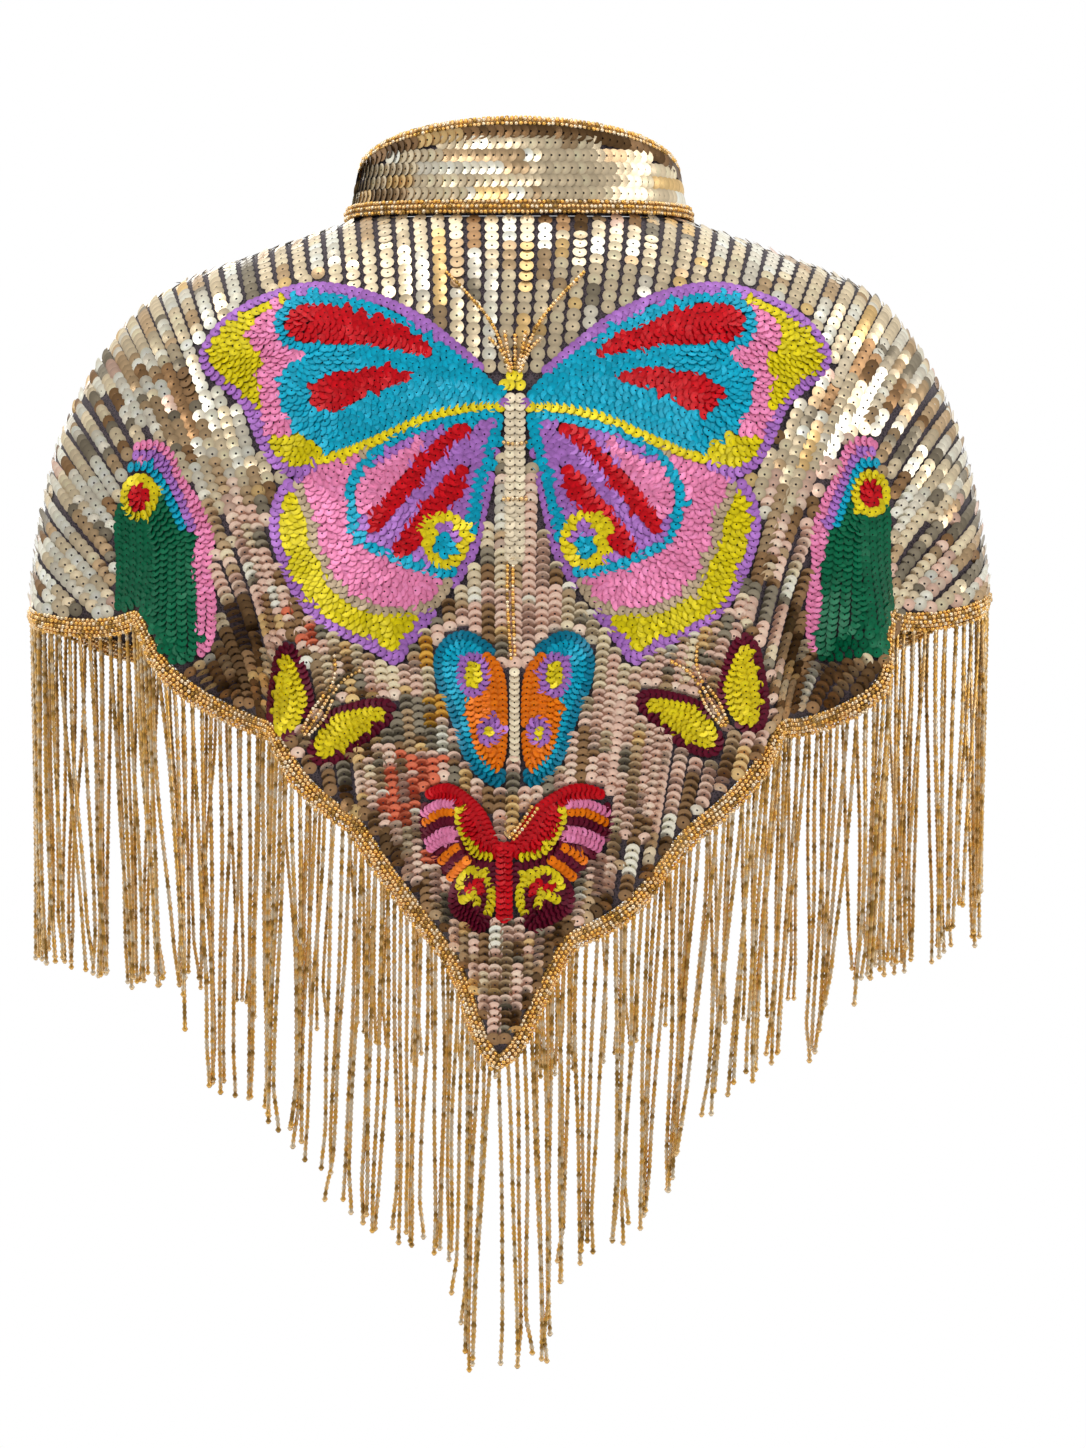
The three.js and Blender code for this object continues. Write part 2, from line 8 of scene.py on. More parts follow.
import bpy
import numpy as np
from bpy.props import FloatProperty, FloatVectorProperty, IntProperty, PointerProperty
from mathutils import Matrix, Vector
from mathutils.kdtree import KDTree


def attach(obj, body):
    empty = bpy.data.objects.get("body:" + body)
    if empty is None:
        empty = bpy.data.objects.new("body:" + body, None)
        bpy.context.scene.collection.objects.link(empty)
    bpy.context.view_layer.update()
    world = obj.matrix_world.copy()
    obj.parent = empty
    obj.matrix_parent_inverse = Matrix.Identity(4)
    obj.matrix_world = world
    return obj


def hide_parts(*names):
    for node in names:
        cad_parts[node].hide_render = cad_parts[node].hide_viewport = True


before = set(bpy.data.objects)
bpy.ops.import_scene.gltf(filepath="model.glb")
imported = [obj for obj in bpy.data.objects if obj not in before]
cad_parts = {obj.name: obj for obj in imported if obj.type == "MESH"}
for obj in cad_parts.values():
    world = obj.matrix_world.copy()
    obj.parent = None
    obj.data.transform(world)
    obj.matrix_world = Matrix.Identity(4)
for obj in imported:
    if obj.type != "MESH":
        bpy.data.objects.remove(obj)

bl_info = {
    "name": "Sequinned shoulder cape",
    "version": (1, 0, 0),
    "blender": (4, 5, 0),
    "location": "3D View > Sidebar > Cape",
    "description": "Makes the net, sequins, bead piping and bead fringe of a shoulder cape",
    "category": "Object",
}

MM = 0.001
BODY = "root"


# Colours

PALETTE = {
    "gold_pale": (0.86, 0.71, 0.48),
    # Painted glint: a near-white gold that stands for the lights' reflection on some sequins and beads.
    "gold_bright": (0.95, 0.88, 0.72),
    "gold_warm": (0.86, 0.58, 0.25),
    "gold_tan": (0.56, 0.39, 0.22),
    "gold_brown": (0.32, 0.18, 0.08),
    "gold_dark": (0.15, 0.08, 0.03),
    "gold_grey": (0.30, 0.255, 0.18),
    "gold_rose": (0.95, 0.64, 0.50),
    "amber": (0.80, 0.42, 0.06),
    "coral": (0.86, 0.20, 0.10),
    "champagne": (0.84, 0.72, 0.52),
    "turquoise": (0.0, 0.40, 0.60),
    "teal": (0.0, 0.20, 0.33),
    "violet": (0.42, 0.17, 0.58),
    "pink": (0.92, 0.26, 0.50),
    "chartreuse": (0.74, 0.62, 0.002),
    "yellow": (0.84, 0.68, 0.01),
    "red": (0.60, 0.001, 0.008),
    "green": (0.0, 0.14, 0.06),
    "orange": (0.92, 0.20, 0.001),
    "maroon": (0.13, 0.004, 0.022),
    "tan": (0.50, 0.38, 0.25),
}

# How often each gold turns up, by part of the cape: high on the back, low in its middle, on the arms,
# deep in a fold and on the collar. The fold mix is painted shade, and the glint gold a painted reflection.
GOLD_MIXES = {
    "upper": {
        "gold_pale": 0.56, "gold_bright": 0.24, "gold_tan": 0.11, "gold_grey": 0.04, "gold_warm": 0.05,
    },
    "lower": {
        "gold_rose": 0.46, "gold_pale": 0.08, "gold_tan": 0.17, "gold_brown": 0.13, "gold_grey": 0.09,
        "gold_bright": 0.03, "gold_warm": 0.04,
    },
    "arm": {
        "gold_bright": 0.30, "gold_pale": 0.27, "gold_tan": 0.17, "gold_grey": 0.12, "gold_brown": 0.08,
        "gold_rose": 0.06,
    },
    # Painted shade: dark golds for sequins deep in a fold and just above the hem low on the back.
    "fold": {"gold_dark": 0.42, "gold_brown": 0.36, "gold_warm": 0.14, "gold_tan": 0.08},
    "collar": {"gold_pale": 0.70, "gold_bright": 0.10, "gold_tan": 0.13, "gold_warm": 0.07},
    "edge": {"gold_dark": 0.62, "gold_brown": 0.30, "gold_warm": 0.08},
}


# The cape's form, with the same sizes as its solids

CLOTH = 2.0
SEAM_GAP = 0.3
FRONT_GAP = 3.0
SIDE_SEAM_ANGLE = 96
COLLAR_TOP_HALF_WIDTH = 93
COLLAR_TOP_BACK = 67
COLLAR_TOP_FRONT = 71
COLLAR_HEIGHT_BACK = 51
COLLAR_HEIGHT_FRONT = 15
COLLAR_SLOPE_POWER = 1.6
HEM_PIPING_HEIGHT = 8.0
STRIP_HEIGHT = 2.6
STRAND_SIDE_GAP = 3.3
STRAND_END_GAP = 2.5
TIP_GAP_ANGLE = 0.04
STRAND_LENGTH_CHANGE = 4
STRAND_LENGTH_BEAT = 2.4
FRONT_STRAND_LENGTH = 196
BACK_COLUMNS = 76
FRONT_COLUMNS = 22
COLLAR_COLUMNS = 40
CENTRE_DENSITY = 0.7
TIP_COLUMN = BACK_COLUMNS // 2

RING_COLUMNS = ("wide", "mid_x", "side_z", "back_y", "back_z", "front_y", "front_z", "full")
RINGS = np.array([
    (98, 0, 5, 70, 0, 76, -32, 2.0),
    (152, 0, -14, 92, -30, 97, -70, 2.1),
    (209, 2, -39, 109, -75, 113, -115, 2.2),
    (246, 4, -86, 119, -130, 122, -160, 2.3),
    (267, 5, -140, 124, -182, 127, -206, 2.4),
    (279, 5, -215, 127, -245, 128, -262, 2.45),
    (283, 6, -300, 127, -330, 127, -330, 2.45),
    (284, 9, -400, 124, -415, 123, -410, 2.45),
    (284, 11, -500, 119, -510, 118, -500, 2.45),
])
LAST_RING = len(RINGS) - 1

# Hem scallops as start x, start z and belly
HEM_HALF_WIDTH = 281
HEM_SETTLED_X = 170
HEM_EASE_ANGLE = 1.1
BACK_SCALLOPS = np.array([
    (-281, -209, 8), (-213, -222, 0), (-203, -262, 9), (-150, -284, 6), (-97, -346, 11), (-33, -404, 0),
    (0, -475, 0), (21, -418, 3), (79, -339, 9), (127, -287, 15), (209, -223, 7), (281, -219, 0),
], float)
FRONT_SCALLOPS = np.array([(0, -300, 10), (98, -270, 10), (196, -238, 9), (281, -214, 0)], float)

# Folds as angle, top z, bottom z, depth and width, out where depth is positive
FOLDS = np.array([
    (0, -150, -475, 13, 4.5), (9, -240, -400, -8, 4.5), (-10, -240, -400, -8, 4.5),
    (14.5, -260, -385, 7, 3.5), (-13.5, -260, -380, 7, 3.5), (19, -230, -345, -6, 3),
    (-18.5, -230, -350, -6, 3), (23.5, -190, -310, 10, 4.5), (-27.5, -190, -290, 10, 4.5),
    (30.5, -160, -280, -17, 4.5), (-35, -160, -275, -17, 4.5), (38.5, -160, -270, 11, 4.5),
    (-42, -160, -265, 12, 4), (50, -130, -225, -7, 5), (-50, -130, -225, -7, 5), (64, -110, -225, 6, 8),
    (-64, -110, -225, 6, 8), (118, -120, -240, -7, 8), (-118, -120, -240, -7, 8), (134, -130, -260, 7, 7),
    (-134, -130, -260, 7, 7), (152, -140, -280, -7, 7), (-152, -140, -280, -7, 7), (167, -150, -290, 6, 6),
    (-167, -150, -290, 6, 6),
], float)

# Back strands as root x, the height of the foot and how far it swings sideways
BACK_STRANDS = np.array([
    (-284, -378, 3), (-262, -390, 5), (-240, -416, 6), (-200, -430, 9), (-186, -453, 11), (-177, -474, 12),
    (-154, -474, 12), (-133, -485, 13), (-112, -508, 13), (-91, -548, 11), (-63, -573, 7), (-38, -580, 3),
    (-23, -596, 0), (-12, -638, -3), (6, -638, -4), (12, -641, 5), (24, -640, 6), (33, -582, 3),
    (63, -573, 2), (86, -558, 8), (98, -537, 8), (120, -513, 5), (158, -493, 1), (180, -488, -3),
    (192, -428, -9), (226, -435, -11), (262, -424, -9), (284, -421, -3),
], float)

ANGLE_STEP = 0.2
LEVEL_STEP = 0.02
HEM_ANGLE_STEP = 0.8
HALVINGS = 30
UP = np.array((0.0, 0.0, 1.0))

# The search for the place of a point seen from behind: its tries, its first steps and its widest ones
PLACE_TRIES = 14
ANGLE_TRY = 0.05
LEVEL_TRY = 0.005
WIDEST_TURN = 8
WIDEST_SINK = 0.6
WIDEST_ACROSS = 0.96
WIDEST_ANGLE = 94
LEVEL_MARGIN = 0.02
TINY = 1e-6


def unit(vectors):
    """Vectors made one long."""
    return vectors / np.maximum(np.linalg.norm(vectors, axis=-1, keepdims=True), 1e-9)


def flattened(ways, normals):
    """Ways laid flat on the cloth whose normals are given."""
    return unit(ways - normals * np.sum(ways * normals, -1, keepdims=True))


def lerp(a, b, t):
    return a + (b - a) * t


def smooth_between(a, b, c, d, t):
    """The smooth curve through four stops, at t from the second to the third."""
    bend = 2 * a - 5 * b + 4 * c - d
    twist = 3 * b - a - 3 * c + d
    return 0.5 * (2 * b + (c - a) * t + bend * t * t + twist * t ** 3)


def smoothstep(t, low=0.0, high=1.0):
    t = np.clip((t - low) / (high - low), 0, 1)
    return t * t * (3 - 2 * t)


def ring_value(name, level):
    """A ring column's value at any level between the rows, on one smooth curve."""
    column = RINGS[:, RING_COLUMNS.index(name)]
    level = np.asarray(level, float)
    row = np.clip(np.floor(level).astype(int), 0, LAST_RING - 1)
    stops = (column[np.clip(row + k, 0, LAST_RING)] for k in (-1, 0, 1, 2))
    return smooth_between(*stops, level - row)


def unit_ring(angle, full):
    across = np.sin(np.radians(angle))
    along = np.cos(np.radians(angle))
    size = (np.abs(across) ** full + np.abs(along) ** full) ** (1 / full)
    return across / size, along / size


def ring_point(angle, level):
    """A point of the cape's smooth form, at an angle from the centre back and a level below the neck."""
    angle, level = np.broadcast_arrays(np.asarray(angle, float), np.asarray(level, float))
    across, along = unit_ring(angle, ring_value("full", level))
    to_back = along > 0
    reach = np.where(to_back, ring_value("back_y", level), ring_value("front_y", level))
    end_z = np.where(to_back, ring_value("back_z", level), ring_value("front_z", level))
    turn = np.cos(np.radians(angle)) ** 2
    x = ring_value("mid_x", level) + ring_value("wide", level) * across
    return np.stack([x, reach * along, lerp(ring_value("side_z", level), end_z, turn)], -1)


def normal_of(surface, angle, level):
    across = surface(angle + ANGLE_STEP, level) - surface(angle - ANGLE_STEP, level)
    down = surface(angle, level + LEVEL_STEP) - surface(angle, np.maximum(level - LEVEL_STEP, 0))
    return unit(np.cross(across, down))


def fold_depth(angle, z):
    total = np.zeros(np.broadcast(angle, z).shape)
    for middle, top_z, bottom_z, depth, width in FOLDS:
        fall = smoothstep((top_z - z) / (top_z - bottom_z))
        total += depth * fall * np.exp(-((angle - middle) / width) ** 2)
    return total


def skin(angle, level):
    """The cloth's outer face, with its folds."""
    point = ring_point(angle, level)
    depth = fold_depth(np.asarray(angle, float), point[..., 2])
    return point + normal_of(ring_point, angle, level) * depth[..., None]


def scallop_height(table, x):
    row = np.clip(np.searchsorted(table[:, 0], x, side="left") - 1, 0, len(table) - 2)
    start, end = table[row], table[row + 1]
    t = np.clip((x - start[..., 0]) / (end[..., 0] - start[..., 0]), 0, 1)
    return lerp(start[..., 1], end[..., 1], t) - start[..., 2] * np.sin(np.pi * t)


def hem_height(angle):
    across, along = unit_ring(angle, RINGS[-1, RING_COLUMNS.index("full")])
    x = HEM_HALF_WIDTH * across
    side = scallop_height(BACK_SCALLOPS, np.sign(x) * HEM_HALF_WIDTH)
    settle = smoothstep(np.abs(x), HEM_SETTLED_X, HEM_HALF_WIDTH)
    front = scallop_height(FRONT_SCALLOPS, np.abs(x)) + (side - FRONT_SCALLOPS[-1, 1]) * settle
    return np.where(along >= 0, scallop_height(BACK_SCALLOPS, x), front)


def hem_level(angle):
    """How far down the rings the hem's edge runs, with the corners of its scallops eased."""
    angle = np.asarray(angle, float)
    near = hem_height(angle - HEM_EASE_ANGLE) + hem_height(angle + HEM_EASE_ANGLE)
    target = (near + 2 * hem_height(angle)) / 4
    low = np.ones(angle.shape)
    high = np.full(angle.shape, float(LAST_RING))
    for _ in range(HALVINGS):
        middle = (low + high) / 2
        above = ring_point(angle, middle)[..., 2] > target
        low = np.where(above, middle, low)
        high = np.where(above, high, middle)
    return low


def side_seam(level, sign):
    return SIDE_SEAM_ANGLE + sign * np.degrees(SEAM_GAP / 2 / ring_value("front_y", level))


def centre_front(level):
    return 180 - np.degrees(np.arcsin(FRONT_GAP / 2 / ring_value("wide", level)))


def back_angle(u, level):
    across = 2 * u - 1
    return side_seam(level, -1) * (CENTRE_DENSITY * across + (1 - CENTRE_DENSITY) * across ** 3)


def front_angle(side):
    """The angles of a front panel: side is 1 on the cape's left and -1 on its right."""
    return lambda u, level: side * lerp(side_seam(level, 1), centre_front(level), u)


def collar_height(angle):
    back = ((1 + np.cos(np.radians(angle))) / 2) ** COLLAR_SLOPE_POWER
    return lerp(COLLAR_HEIGHT_FRONT, COLLAR_HEIGHT_BACK, back)


def collar_skin(angle, rise):
    angle, rise = np.broadcast_arrays(np.asarray(angle, float), np.asarray(rise, float))
    base = ring_point(angle, np.zeros(angle.shape))
    across, along = unit_ring(angle, RINGS[0, RING_COLUMNS.index("full")])
    reach = np.where(along > 0, COLLAR_TOP_BACK, COLLAR_TOP_FRONT)
    x = lerp(base[..., 0], COLLAR_TOP_HALF_WIDTH * across, rise)
    y = lerp(base[..., 1], reach * along, rise)
    return np.stack([x, y, base[..., 2] + SEAM_GAP + collar_height(angle) * rise], -1)


def collar_up(angle):
    return unit(collar_skin(angle, 1.0) - collar_skin(angle, 0.0))


def collar_normal(angle, rise):
    across = collar_skin(angle + ANGLE_STEP, rise) - collar_skin(angle - ANGLE_STEP, rise)
    return unit(np.cross(collar_up(angle), across))


def collar_angles(columns):
    return centre_front(0.0) * np.linspace(-1, 1, columns + 1)


def hem_edge(angle):
    """The hem's edge: its middle, and the ways out of the cloth and off its edge."""
    angle = np.asarray(angle, float)

    def point(at):
        return skin(at, hem_level(at))

    along = unit(point(angle + HEM_ANGLE_STEP) - point(angle - HEM_ANGLE_STEP))
    out = normal_of(skin, angle, hem_level(angle))
    off = unit(np.cross(out, along))
    off = np.where((off[..., 2] > 0)[..., None], -off, off)
    return point(angle) - out * CLOTH / 2, out, off


def column_angles(angle_at, columns):
    return angle_at(np.linspace(0, 1, columns + 1), float(LAST_RING))


BACK_ANGLES = column_angles(back_angle, BACK_COLUMNS)
FRONT_ANGLES = {side: column_angles(front_angle(side), FRONT_COLUMNS) for side in (1, -1)}


def place_on_back(x, z):
    """The angle and level whose smooth point stands at x and z in the view from behind."""
    x = np.asarray(x, float)
    z = np.asarray(z, float)
    heights = RINGS[:, RING_COLUMNS.index("back_z")]
    level = np.interp(-z, -heights, np.arange(len(RINGS)))
    across = (x - ring_value("mid_x", level)) / ring_value("wide", level)
    angle = np.degrees(np.arcsin(np.clip(across, -WIDEST_ACROSS, WIDEST_ACROSS)))
    for _ in range(PLACE_TRIES):
        here = ring_point(angle, level)
        by_angle = (ring_point(angle + ANGLE_TRY, level) - here) / ANGLE_TRY
        by_level = (ring_point(angle, level + LEVEL_TRY) - here) / LEVEL_TRY
        miss_x = x - here[..., 0]
        miss_z = z - here[..., 2]
        size = by_angle[..., 0] * by_level[..., 2] - by_level[..., 0] * by_angle[..., 2]
        size = np.where(np.abs(size) < TINY, TINY, size)
        turn = (miss_x * by_level[..., 2] - by_level[..., 0] * miss_z) / size
        sink = (by_angle[..., 0] * miss_z - miss_x * by_angle[..., 2]) / size
        turn = np.clip(turn, -WIDEST_TURN, WIDEST_TURN)
        sink = np.clip(sink, -WIDEST_SINK, WIDEST_SINK)
        angle = np.clip(angle + turn, -WIDEST_ANGLE, WIDEST_ANGLE)
        level = np.clip(level + sink, LEVEL_MARGIN, LAST_RING - LEVEL_MARGIN)
    return angle, level


# Meshes

def colours_of(names, rng, change=0.15):
    """Palette colours as an array, each a little lighter or darker than the last."""
    colours = np.array([PALETTE[name] for name in names])
    return np.clip(colours * rng.uniform(1 - change, 1 + change, (len(colours), 1)), 0, 1)


def add_mesh(name, points, faces, tints=None, smooth=True):
    """A mesh object from points in millimetres, a list of face arrays and a colour for each point."""
    mesh = bpy.data.meshes.new(name)
    points = np.asarray(points, float) * MM
    mesh.vertices.add(len(points))
    mesh.vertices.foreach_set("co", points.astype(np.float32).ravel())
    corners = np.concatenate([np.asarray(part, np.int32).ravel() for part in faces])
    counts = np.concatenate([np.full(len(part), part.shape[1], np.int32) for part in faces])
    starts = np.concatenate([[0], np.cumsum(counts)[:-1]]).astype(np.int32)
    mesh.loops.add(len(corners))
    mesh.loops.foreach_set("vertex_index", corners)
    mesh.polygons.add(len(counts))
    mesh.polygons.foreach_set("loop_start", starts)
    mesh.polygons.foreach_set("use_smooth", np.full(len(counts), smooth))
    mesh.update(calc_edges=True)
    if tints is not None:
        layer = mesh.color_attributes.new("tint", "FLOAT_COLOR", "POINT")
        rgba = np.ones((len(points), 4), np.float32)
        rgba[:, :3] = tints
        layer.data.foreach_set("color", rgba.ravel())
    if mesh.validate():
        raise RuntimeError(f"{name} has faces that its mesh can't hold")
    made = bpy.data.objects.new(name, mesh)
    bpy.context.scene.collection.objects.link(made)
    return made


def finish_piece(piece, material, replaced=()):
    """Gives a piece its material, hides the solids that it stands for, and rides it on the cape."""
    piece.data.materials.append(material)
    if replaced:
        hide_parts(*replaced)
    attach(piece, BODY)
    return piece


def grid_faces(rows, columns, first=0):
    """Quads over a grid of points, row by row."""
    i, j = np.meshgrid(np.arange(rows - 1), np.arange(columns - 1), indexing="ij")
    a = (first + i * columns + j).ravel()
    return np.stack([a, a + columns, a + columns + 1, a + 1], -1)


def shell(outer, inner):
    """Points and faces of a closed sheet between two grids."""
    rows, columns = outer.shape[:2]
    half = rows * columns
    points = np.concatenate([outer.reshape(-1, 3), inner.reshape(-1, 3)])
    front = grid_faces(rows, columns)
    back = grid_faces(rows, columns, half)[:, ::-1]
    index = np.arange(half).reshape(rows, columns)
    rim = np.concatenate([index[0], index[1:, -1], index[-1, -2::-1], index[-2:0:-1, 0]])
    after = np.roll(rim, -1)
    edge = np.stack([rim, after, after + half, rim + half], -1)
    return points, [front, back, edge]


# A sequin's edge is painted darker, as painted shadow where sequins overlap, and round its hole painted
# lighter, as painted light; the hole is small and a little sunk.
RIM_PAINTED_SHADOW = 0.80
EYE_PAINTED_LIGHT = 1.14
HOLE = 0.16
DISH = 0.05


def spokes(sides, first, second):
    """Ways out round a circle for each pair of crosswise directions."""
    turn = np.linspace(0, 2 * np.pi, sides, endpoint=False)
    return np.cos(turn)[None, :, None] * first[:, None] + np.sin(turn)[None, :, None] * second[:, None]


def discs(points, along, normals, radius, tilt, roll, sides):
    """Points and faces of round sequins with a hole, each dished a little and lifted at its upper edge."""
    count = len(points)
    radius = np.broadcast_to(np.asarray(radius, float), (count,))[:, None, None]
    tilt = np.radians(np.broadcast_to(tilt, (count,)))[:, None]
    roll = np.radians(np.broadcast_to(roll, (count,)))[:, None]
    side = unit(np.cross(normals, along))
    forward = along * np.cos(tilt) + normals * np.sin(tilt)
    top = normals * np.cos(tilt) - along * np.sin(tilt)
    aside = side * np.cos(roll) + top * np.sin(roll)
    top = top * np.cos(roll) - side * np.sin(roll)
    spoke = spokes(sides, forward, aside)
    rim = points[:, None] + spoke * radius
    eye = points[:, None] + spoke * radius * HOLE - top[:, None] * radius * DISH
    made = np.concatenate([rim, eye], 1).reshape(-1, 3)
    k = np.arange(sides)
    quad = np.stack([k, (k + 1) % sides, (k + 1) % sides + sides, k + sides], -1)
    faces = (np.arange(count) * 2 * sides)[:, None, None] + quad[None]
    return made, faces.reshape(-1, 4)


def add_sequins(name, field, finish, sides, rng):
    """One mesh of sequins from a field of their points, ways, normals, radii, lifts, tilts and colours."""
    points = field["points"] + field["normals"] * field["lift"][:, None]
    count = len(points)
    tilt = field["tilt"] + rng.normal(0, field["loose"], count)
    roll = rng.normal(0, field["loose"], count)
    made, faces = discs(points, field["along"], field["normals"], field["radius"], tilt, roll, sides)
    # Painted shadow on each sequin's rim and painted light round its hole
    shades = np.repeat([RIM_PAINTED_SHADOW, EYE_PAINTED_LIGHT], sides)[None, :, None]
    tints = np.clip(field["tints"][:, None] * shades, 0, 1).reshape(-1, 3)
    return finish_piece(add_mesh(name, made, [faces], tints), finish_of(finish))


def join_fields(fields):
    return {key: np.concatenate([field[key] for field in fields]) for key in fields[0]}


def pick(field, mask):
    return {key: values[mask] for key, values in field.items()}


BEAD_SIDES = 5
BEAD_RINGS = ((0.45, -0.86), (0.98, -0.38), (0.98, 0.38), (0.45, 0.86))
BEAD_POINTS = BEAD_SIDES * len(BEAD_RINGS)
# Beads on a thread steeper than this are turned by another axis.
STEEP = 0.8
# How far to each side of a point its path's way is measured
WAY_REACH = 0.3


def beads(points, along, radius):
    """Points and faces of small round beads, each turned along its thread."""
    sides = BEAD_SIDES
    along = unit(along)
    helper = np.where(np.abs(along[:, 2:3]) > STEEP, np.array((1.0, 0, 0)), UP)
    side = unit(np.cross(along, helper))
    other = np.cross(along, side)
    radius = np.broadcast_to(radius, (len(points),))[:, None, None]
    circle = spokes(sides, side, other)
    made = np.concatenate([
        points[:, None] + circle * radius * out + along[:, None] * radius * step for out, step in BEAD_RINGS
    ], 1)
    k = np.arange(sides)
    after = (k + 1) % sides
    top = (len(BEAD_RINGS) - 1) * sides
    walls = [np.stack([k, after, after + sides, k + sides], -1) + r for r in range(0, top, sides)]
    lids = [k[::-1][None], (k + top)[None]]
    start = (np.arange(len(points)) * BEAD_POINTS)[:, None, None]
    faces = [(start + np.concatenate(walls)[None]).reshape(-1, 4)]
    faces += [(start[:, 0] + lid).reshape(-1, sides) for lid in lids]
    return made.reshape(-1, 3), faces


def resample(path, pitch, offset=0.5):
    """Points a pitch apart along a path, and the way that it runs at each."""
    steps = np.linalg.norm(np.diff(path, axis=0), axis=1)
    walked = np.concatenate([[0], np.cumsum(steps)])
    length = walked[-1]
    count = int(length / pitch)
    if count < 1:
        return np.zeros((0, path.shape[1])), np.zeros((0, path.shape[1]))
    at = (np.arange(count) + offset) * length / count
    points, ahead, behind = (
        np.stack([np.interp(at + step, walked, column) for column in path.T], -1)
        for step in (0, WAY_REACH, -WAY_REACH)
    )
    return points, unit(ahead - behind)


# Materials

# Depths of the bump and the width of the net's cells, in metres
SCRATCH_DEPTH = 0.0002
THREAD_DEPTH = 0.0003
NET_CELL = 0.0016


def new_material(name):
    material = bpy.data.materials.new(name)
    material.use_nodes = True
    nodes = material.node_tree.nodes
    return material, nodes, material.node_tree.links, nodes["Principled BSDF"]


def add_node(nodes, kind, **values):
    """A node of a kind, with its own settings and the defaults of its sockets."""
    made = nodes.new(kind)
    for key, value in values.items():
        if key in made.inputs:
            made.inputs[key].default_value = value
        else:
            setattr(made, key, value)
    return made


def add_pattern(nodes, links, kind, **values):
    """A texture laid over the piece in its own space."""
    place = add_node(nodes, "ShaderNodeTexCoord")
    pattern = add_node(nodes, kind, **values)
    links.new(place.outputs["Object"], pattern.inputs["Vector"])
    return pattern


def add_ramp(nodes, links, value, target, stops):
    """Leads a value to a colour socket through two stops, each a place and a colour."""
    ramp = add_node(nodes, "ShaderNodeValToRGB")
    for element, (place, colour) in zip(ramp.color_ramp.elements, stops):
        element.position = place
        element.color = (*colour, 1)
    links.new(value, ramp.inputs["Fac"])
    links.new(ramp.outputs["Color"], target)


def add_bump(nodes, links, height, shader, **values):
    bump = add_node(nodes, "ShaderNodeBump", **values)
    links.new(height, bump.inputs["Height"])
    links.new(bump.outputs["Normal"], shader.inputs["Normal"])


def tinted_material(name, metallic, roughness, gloss, grain, depth):
    """A finish whose colour is each piece's own tint, with fine scratches in it."""
    material, nodes, links, shader = new_material(name)
    shader.inputs["Metallic"].default_value = metallic
    shader.inputs["Roughness"].default_value = roughness
    shader.inputs["Specular IOR Level"].default_value = gloss
    tint = add_node(nodes, "ShaderNodeVertexColor", layer_name="tint")
    noise = add_pattern(nodes, links, "ShaderNodeTexNoise", Scale=grain, Detail=3.0)
    wear = add_node(nodes, "ShaderNodeMapRange")
    wear.inputs["To Min"].default_value = 0.86
    wear.inputs["To Max"].default_value = 1.12
    links.new(noise.outputs["Fac"], wear.inputs["Value"])
    shade = add_node(nodes, "ShaderNodeMix", data_type="RGBA", blend_type="MULTIPLY")
    shade.inputs["Factor"].default_value = 1.0
    links.new(tint.outputs["Color"], shade.inputs["A"])
    links.new(wear.outputs["Result"], shade.inputs["B"])
    links.new(shade.outputs["Result"], shader.inputs["Base Color"])
    add_bump(nodes, links, noise.outputs["Fac"], shader, Strength=depth, Distance=SCRATCH_DEPTH)
    return material


def net_material(thread, gap, pitch):
    """Knitted tulle: a honeycomb of dark thread over its own shadow."""
    material, nodes, links, shader = new_material("tulle_net")
    shader.inputs["Roughness"].default_value = 0.85
    shader.inputs["Sheen Weight"].default_value = 0.2
    cells = add_pattern(nodes, links, "ShaderNodeTexVoronoi", feature="DISTANCE_TO_EDGE", Scale=1 / pitch)
    edge = cells.outputs["Distance"]
    add_ramp(nodes, links, edge, shader.inputs["Base Color"], [(0.05, thread), (0.2, gap)])
    add_bump(nodes, links, edge, shader, Strength=0.5, Distance=THREAD_DEPTH, invert=True)
    return material


def thread_material(name, light, dark, scale):
    """Twisted metal thread, wound in slanting turns."""
    material, nodes, links, shader = new_material(name)
    shader.inputs["Metallic"].default_value = 0.7
    shader.inputs["Roughness"].default_value = 0.4
    winding = {"Scale": scale, "Distortion": 2.0, "bands_direction": "DIAGONAL"}
    turns = add_pattern(nodes, links, "ShaderNodeTexWave", **winding).outputs["Fac"]
    add_ramp(nodes, links, turns, shader.inputs["Base Color"], [(0, dark), (1, light)])
    add_bump(nodes, links, turns, shader, Strength=0.4, Distance=SCRATCH_DEPTH)
    return material


def metal_material(name, colour):
    """Drawn wire with faint scratches."""
    material, nodes, links, shader = new_material(name)
    shader.inputs["Metallic"].default_value = 1.0
    noise = add_pattern(nodes, links, "ShaderNodeTexNoise", Scale=900.0, Detail=4.0)
    worn = [0.8 * channel for channel in colour]
    add_ramp(nodes, links, noise.outputs["Fac"], shader.inputs["Base Color"], [(0, worn), (1, colour)])
    gloss = add_node(nodes, "ShaderNodeMapRange")
    gloss.inputs["To Min"].default_value = 0.22
    gloss.inputs["To Max"].default_value = 0.42
    links.new(noise.outputs["Fac"], gloss.inputs["Value"])
    links.new(gloss.outputs["Result"], shader.inputs["Roughness"])
    return material


# Sequins and beads, from their gloss to how fine and deep their scratches are
TINTED_FINISHES = {
    "gold_sequin": {"metallic": 0.62, "roughness": 0.28, "gloss": 0.4, "grain": 350.0, "depth": 0.08},
    "coloured_sequin": {"metallic": 0.12, "roughness": 0.36, "gloss": 0.2, "grain": 350.0, "depth": 0.08},
    "gold_bead": {"metallic": 0.72, "roughness": 0.22, "gloss": 0.5, "grain": 700.0, "depth": 0.1},
}
THREAD_SHADOW = (0.16, 0.09, 0.03)
THREAD_TURNS = 600.0

# Materials made so far, by finish
FINISHES = {}


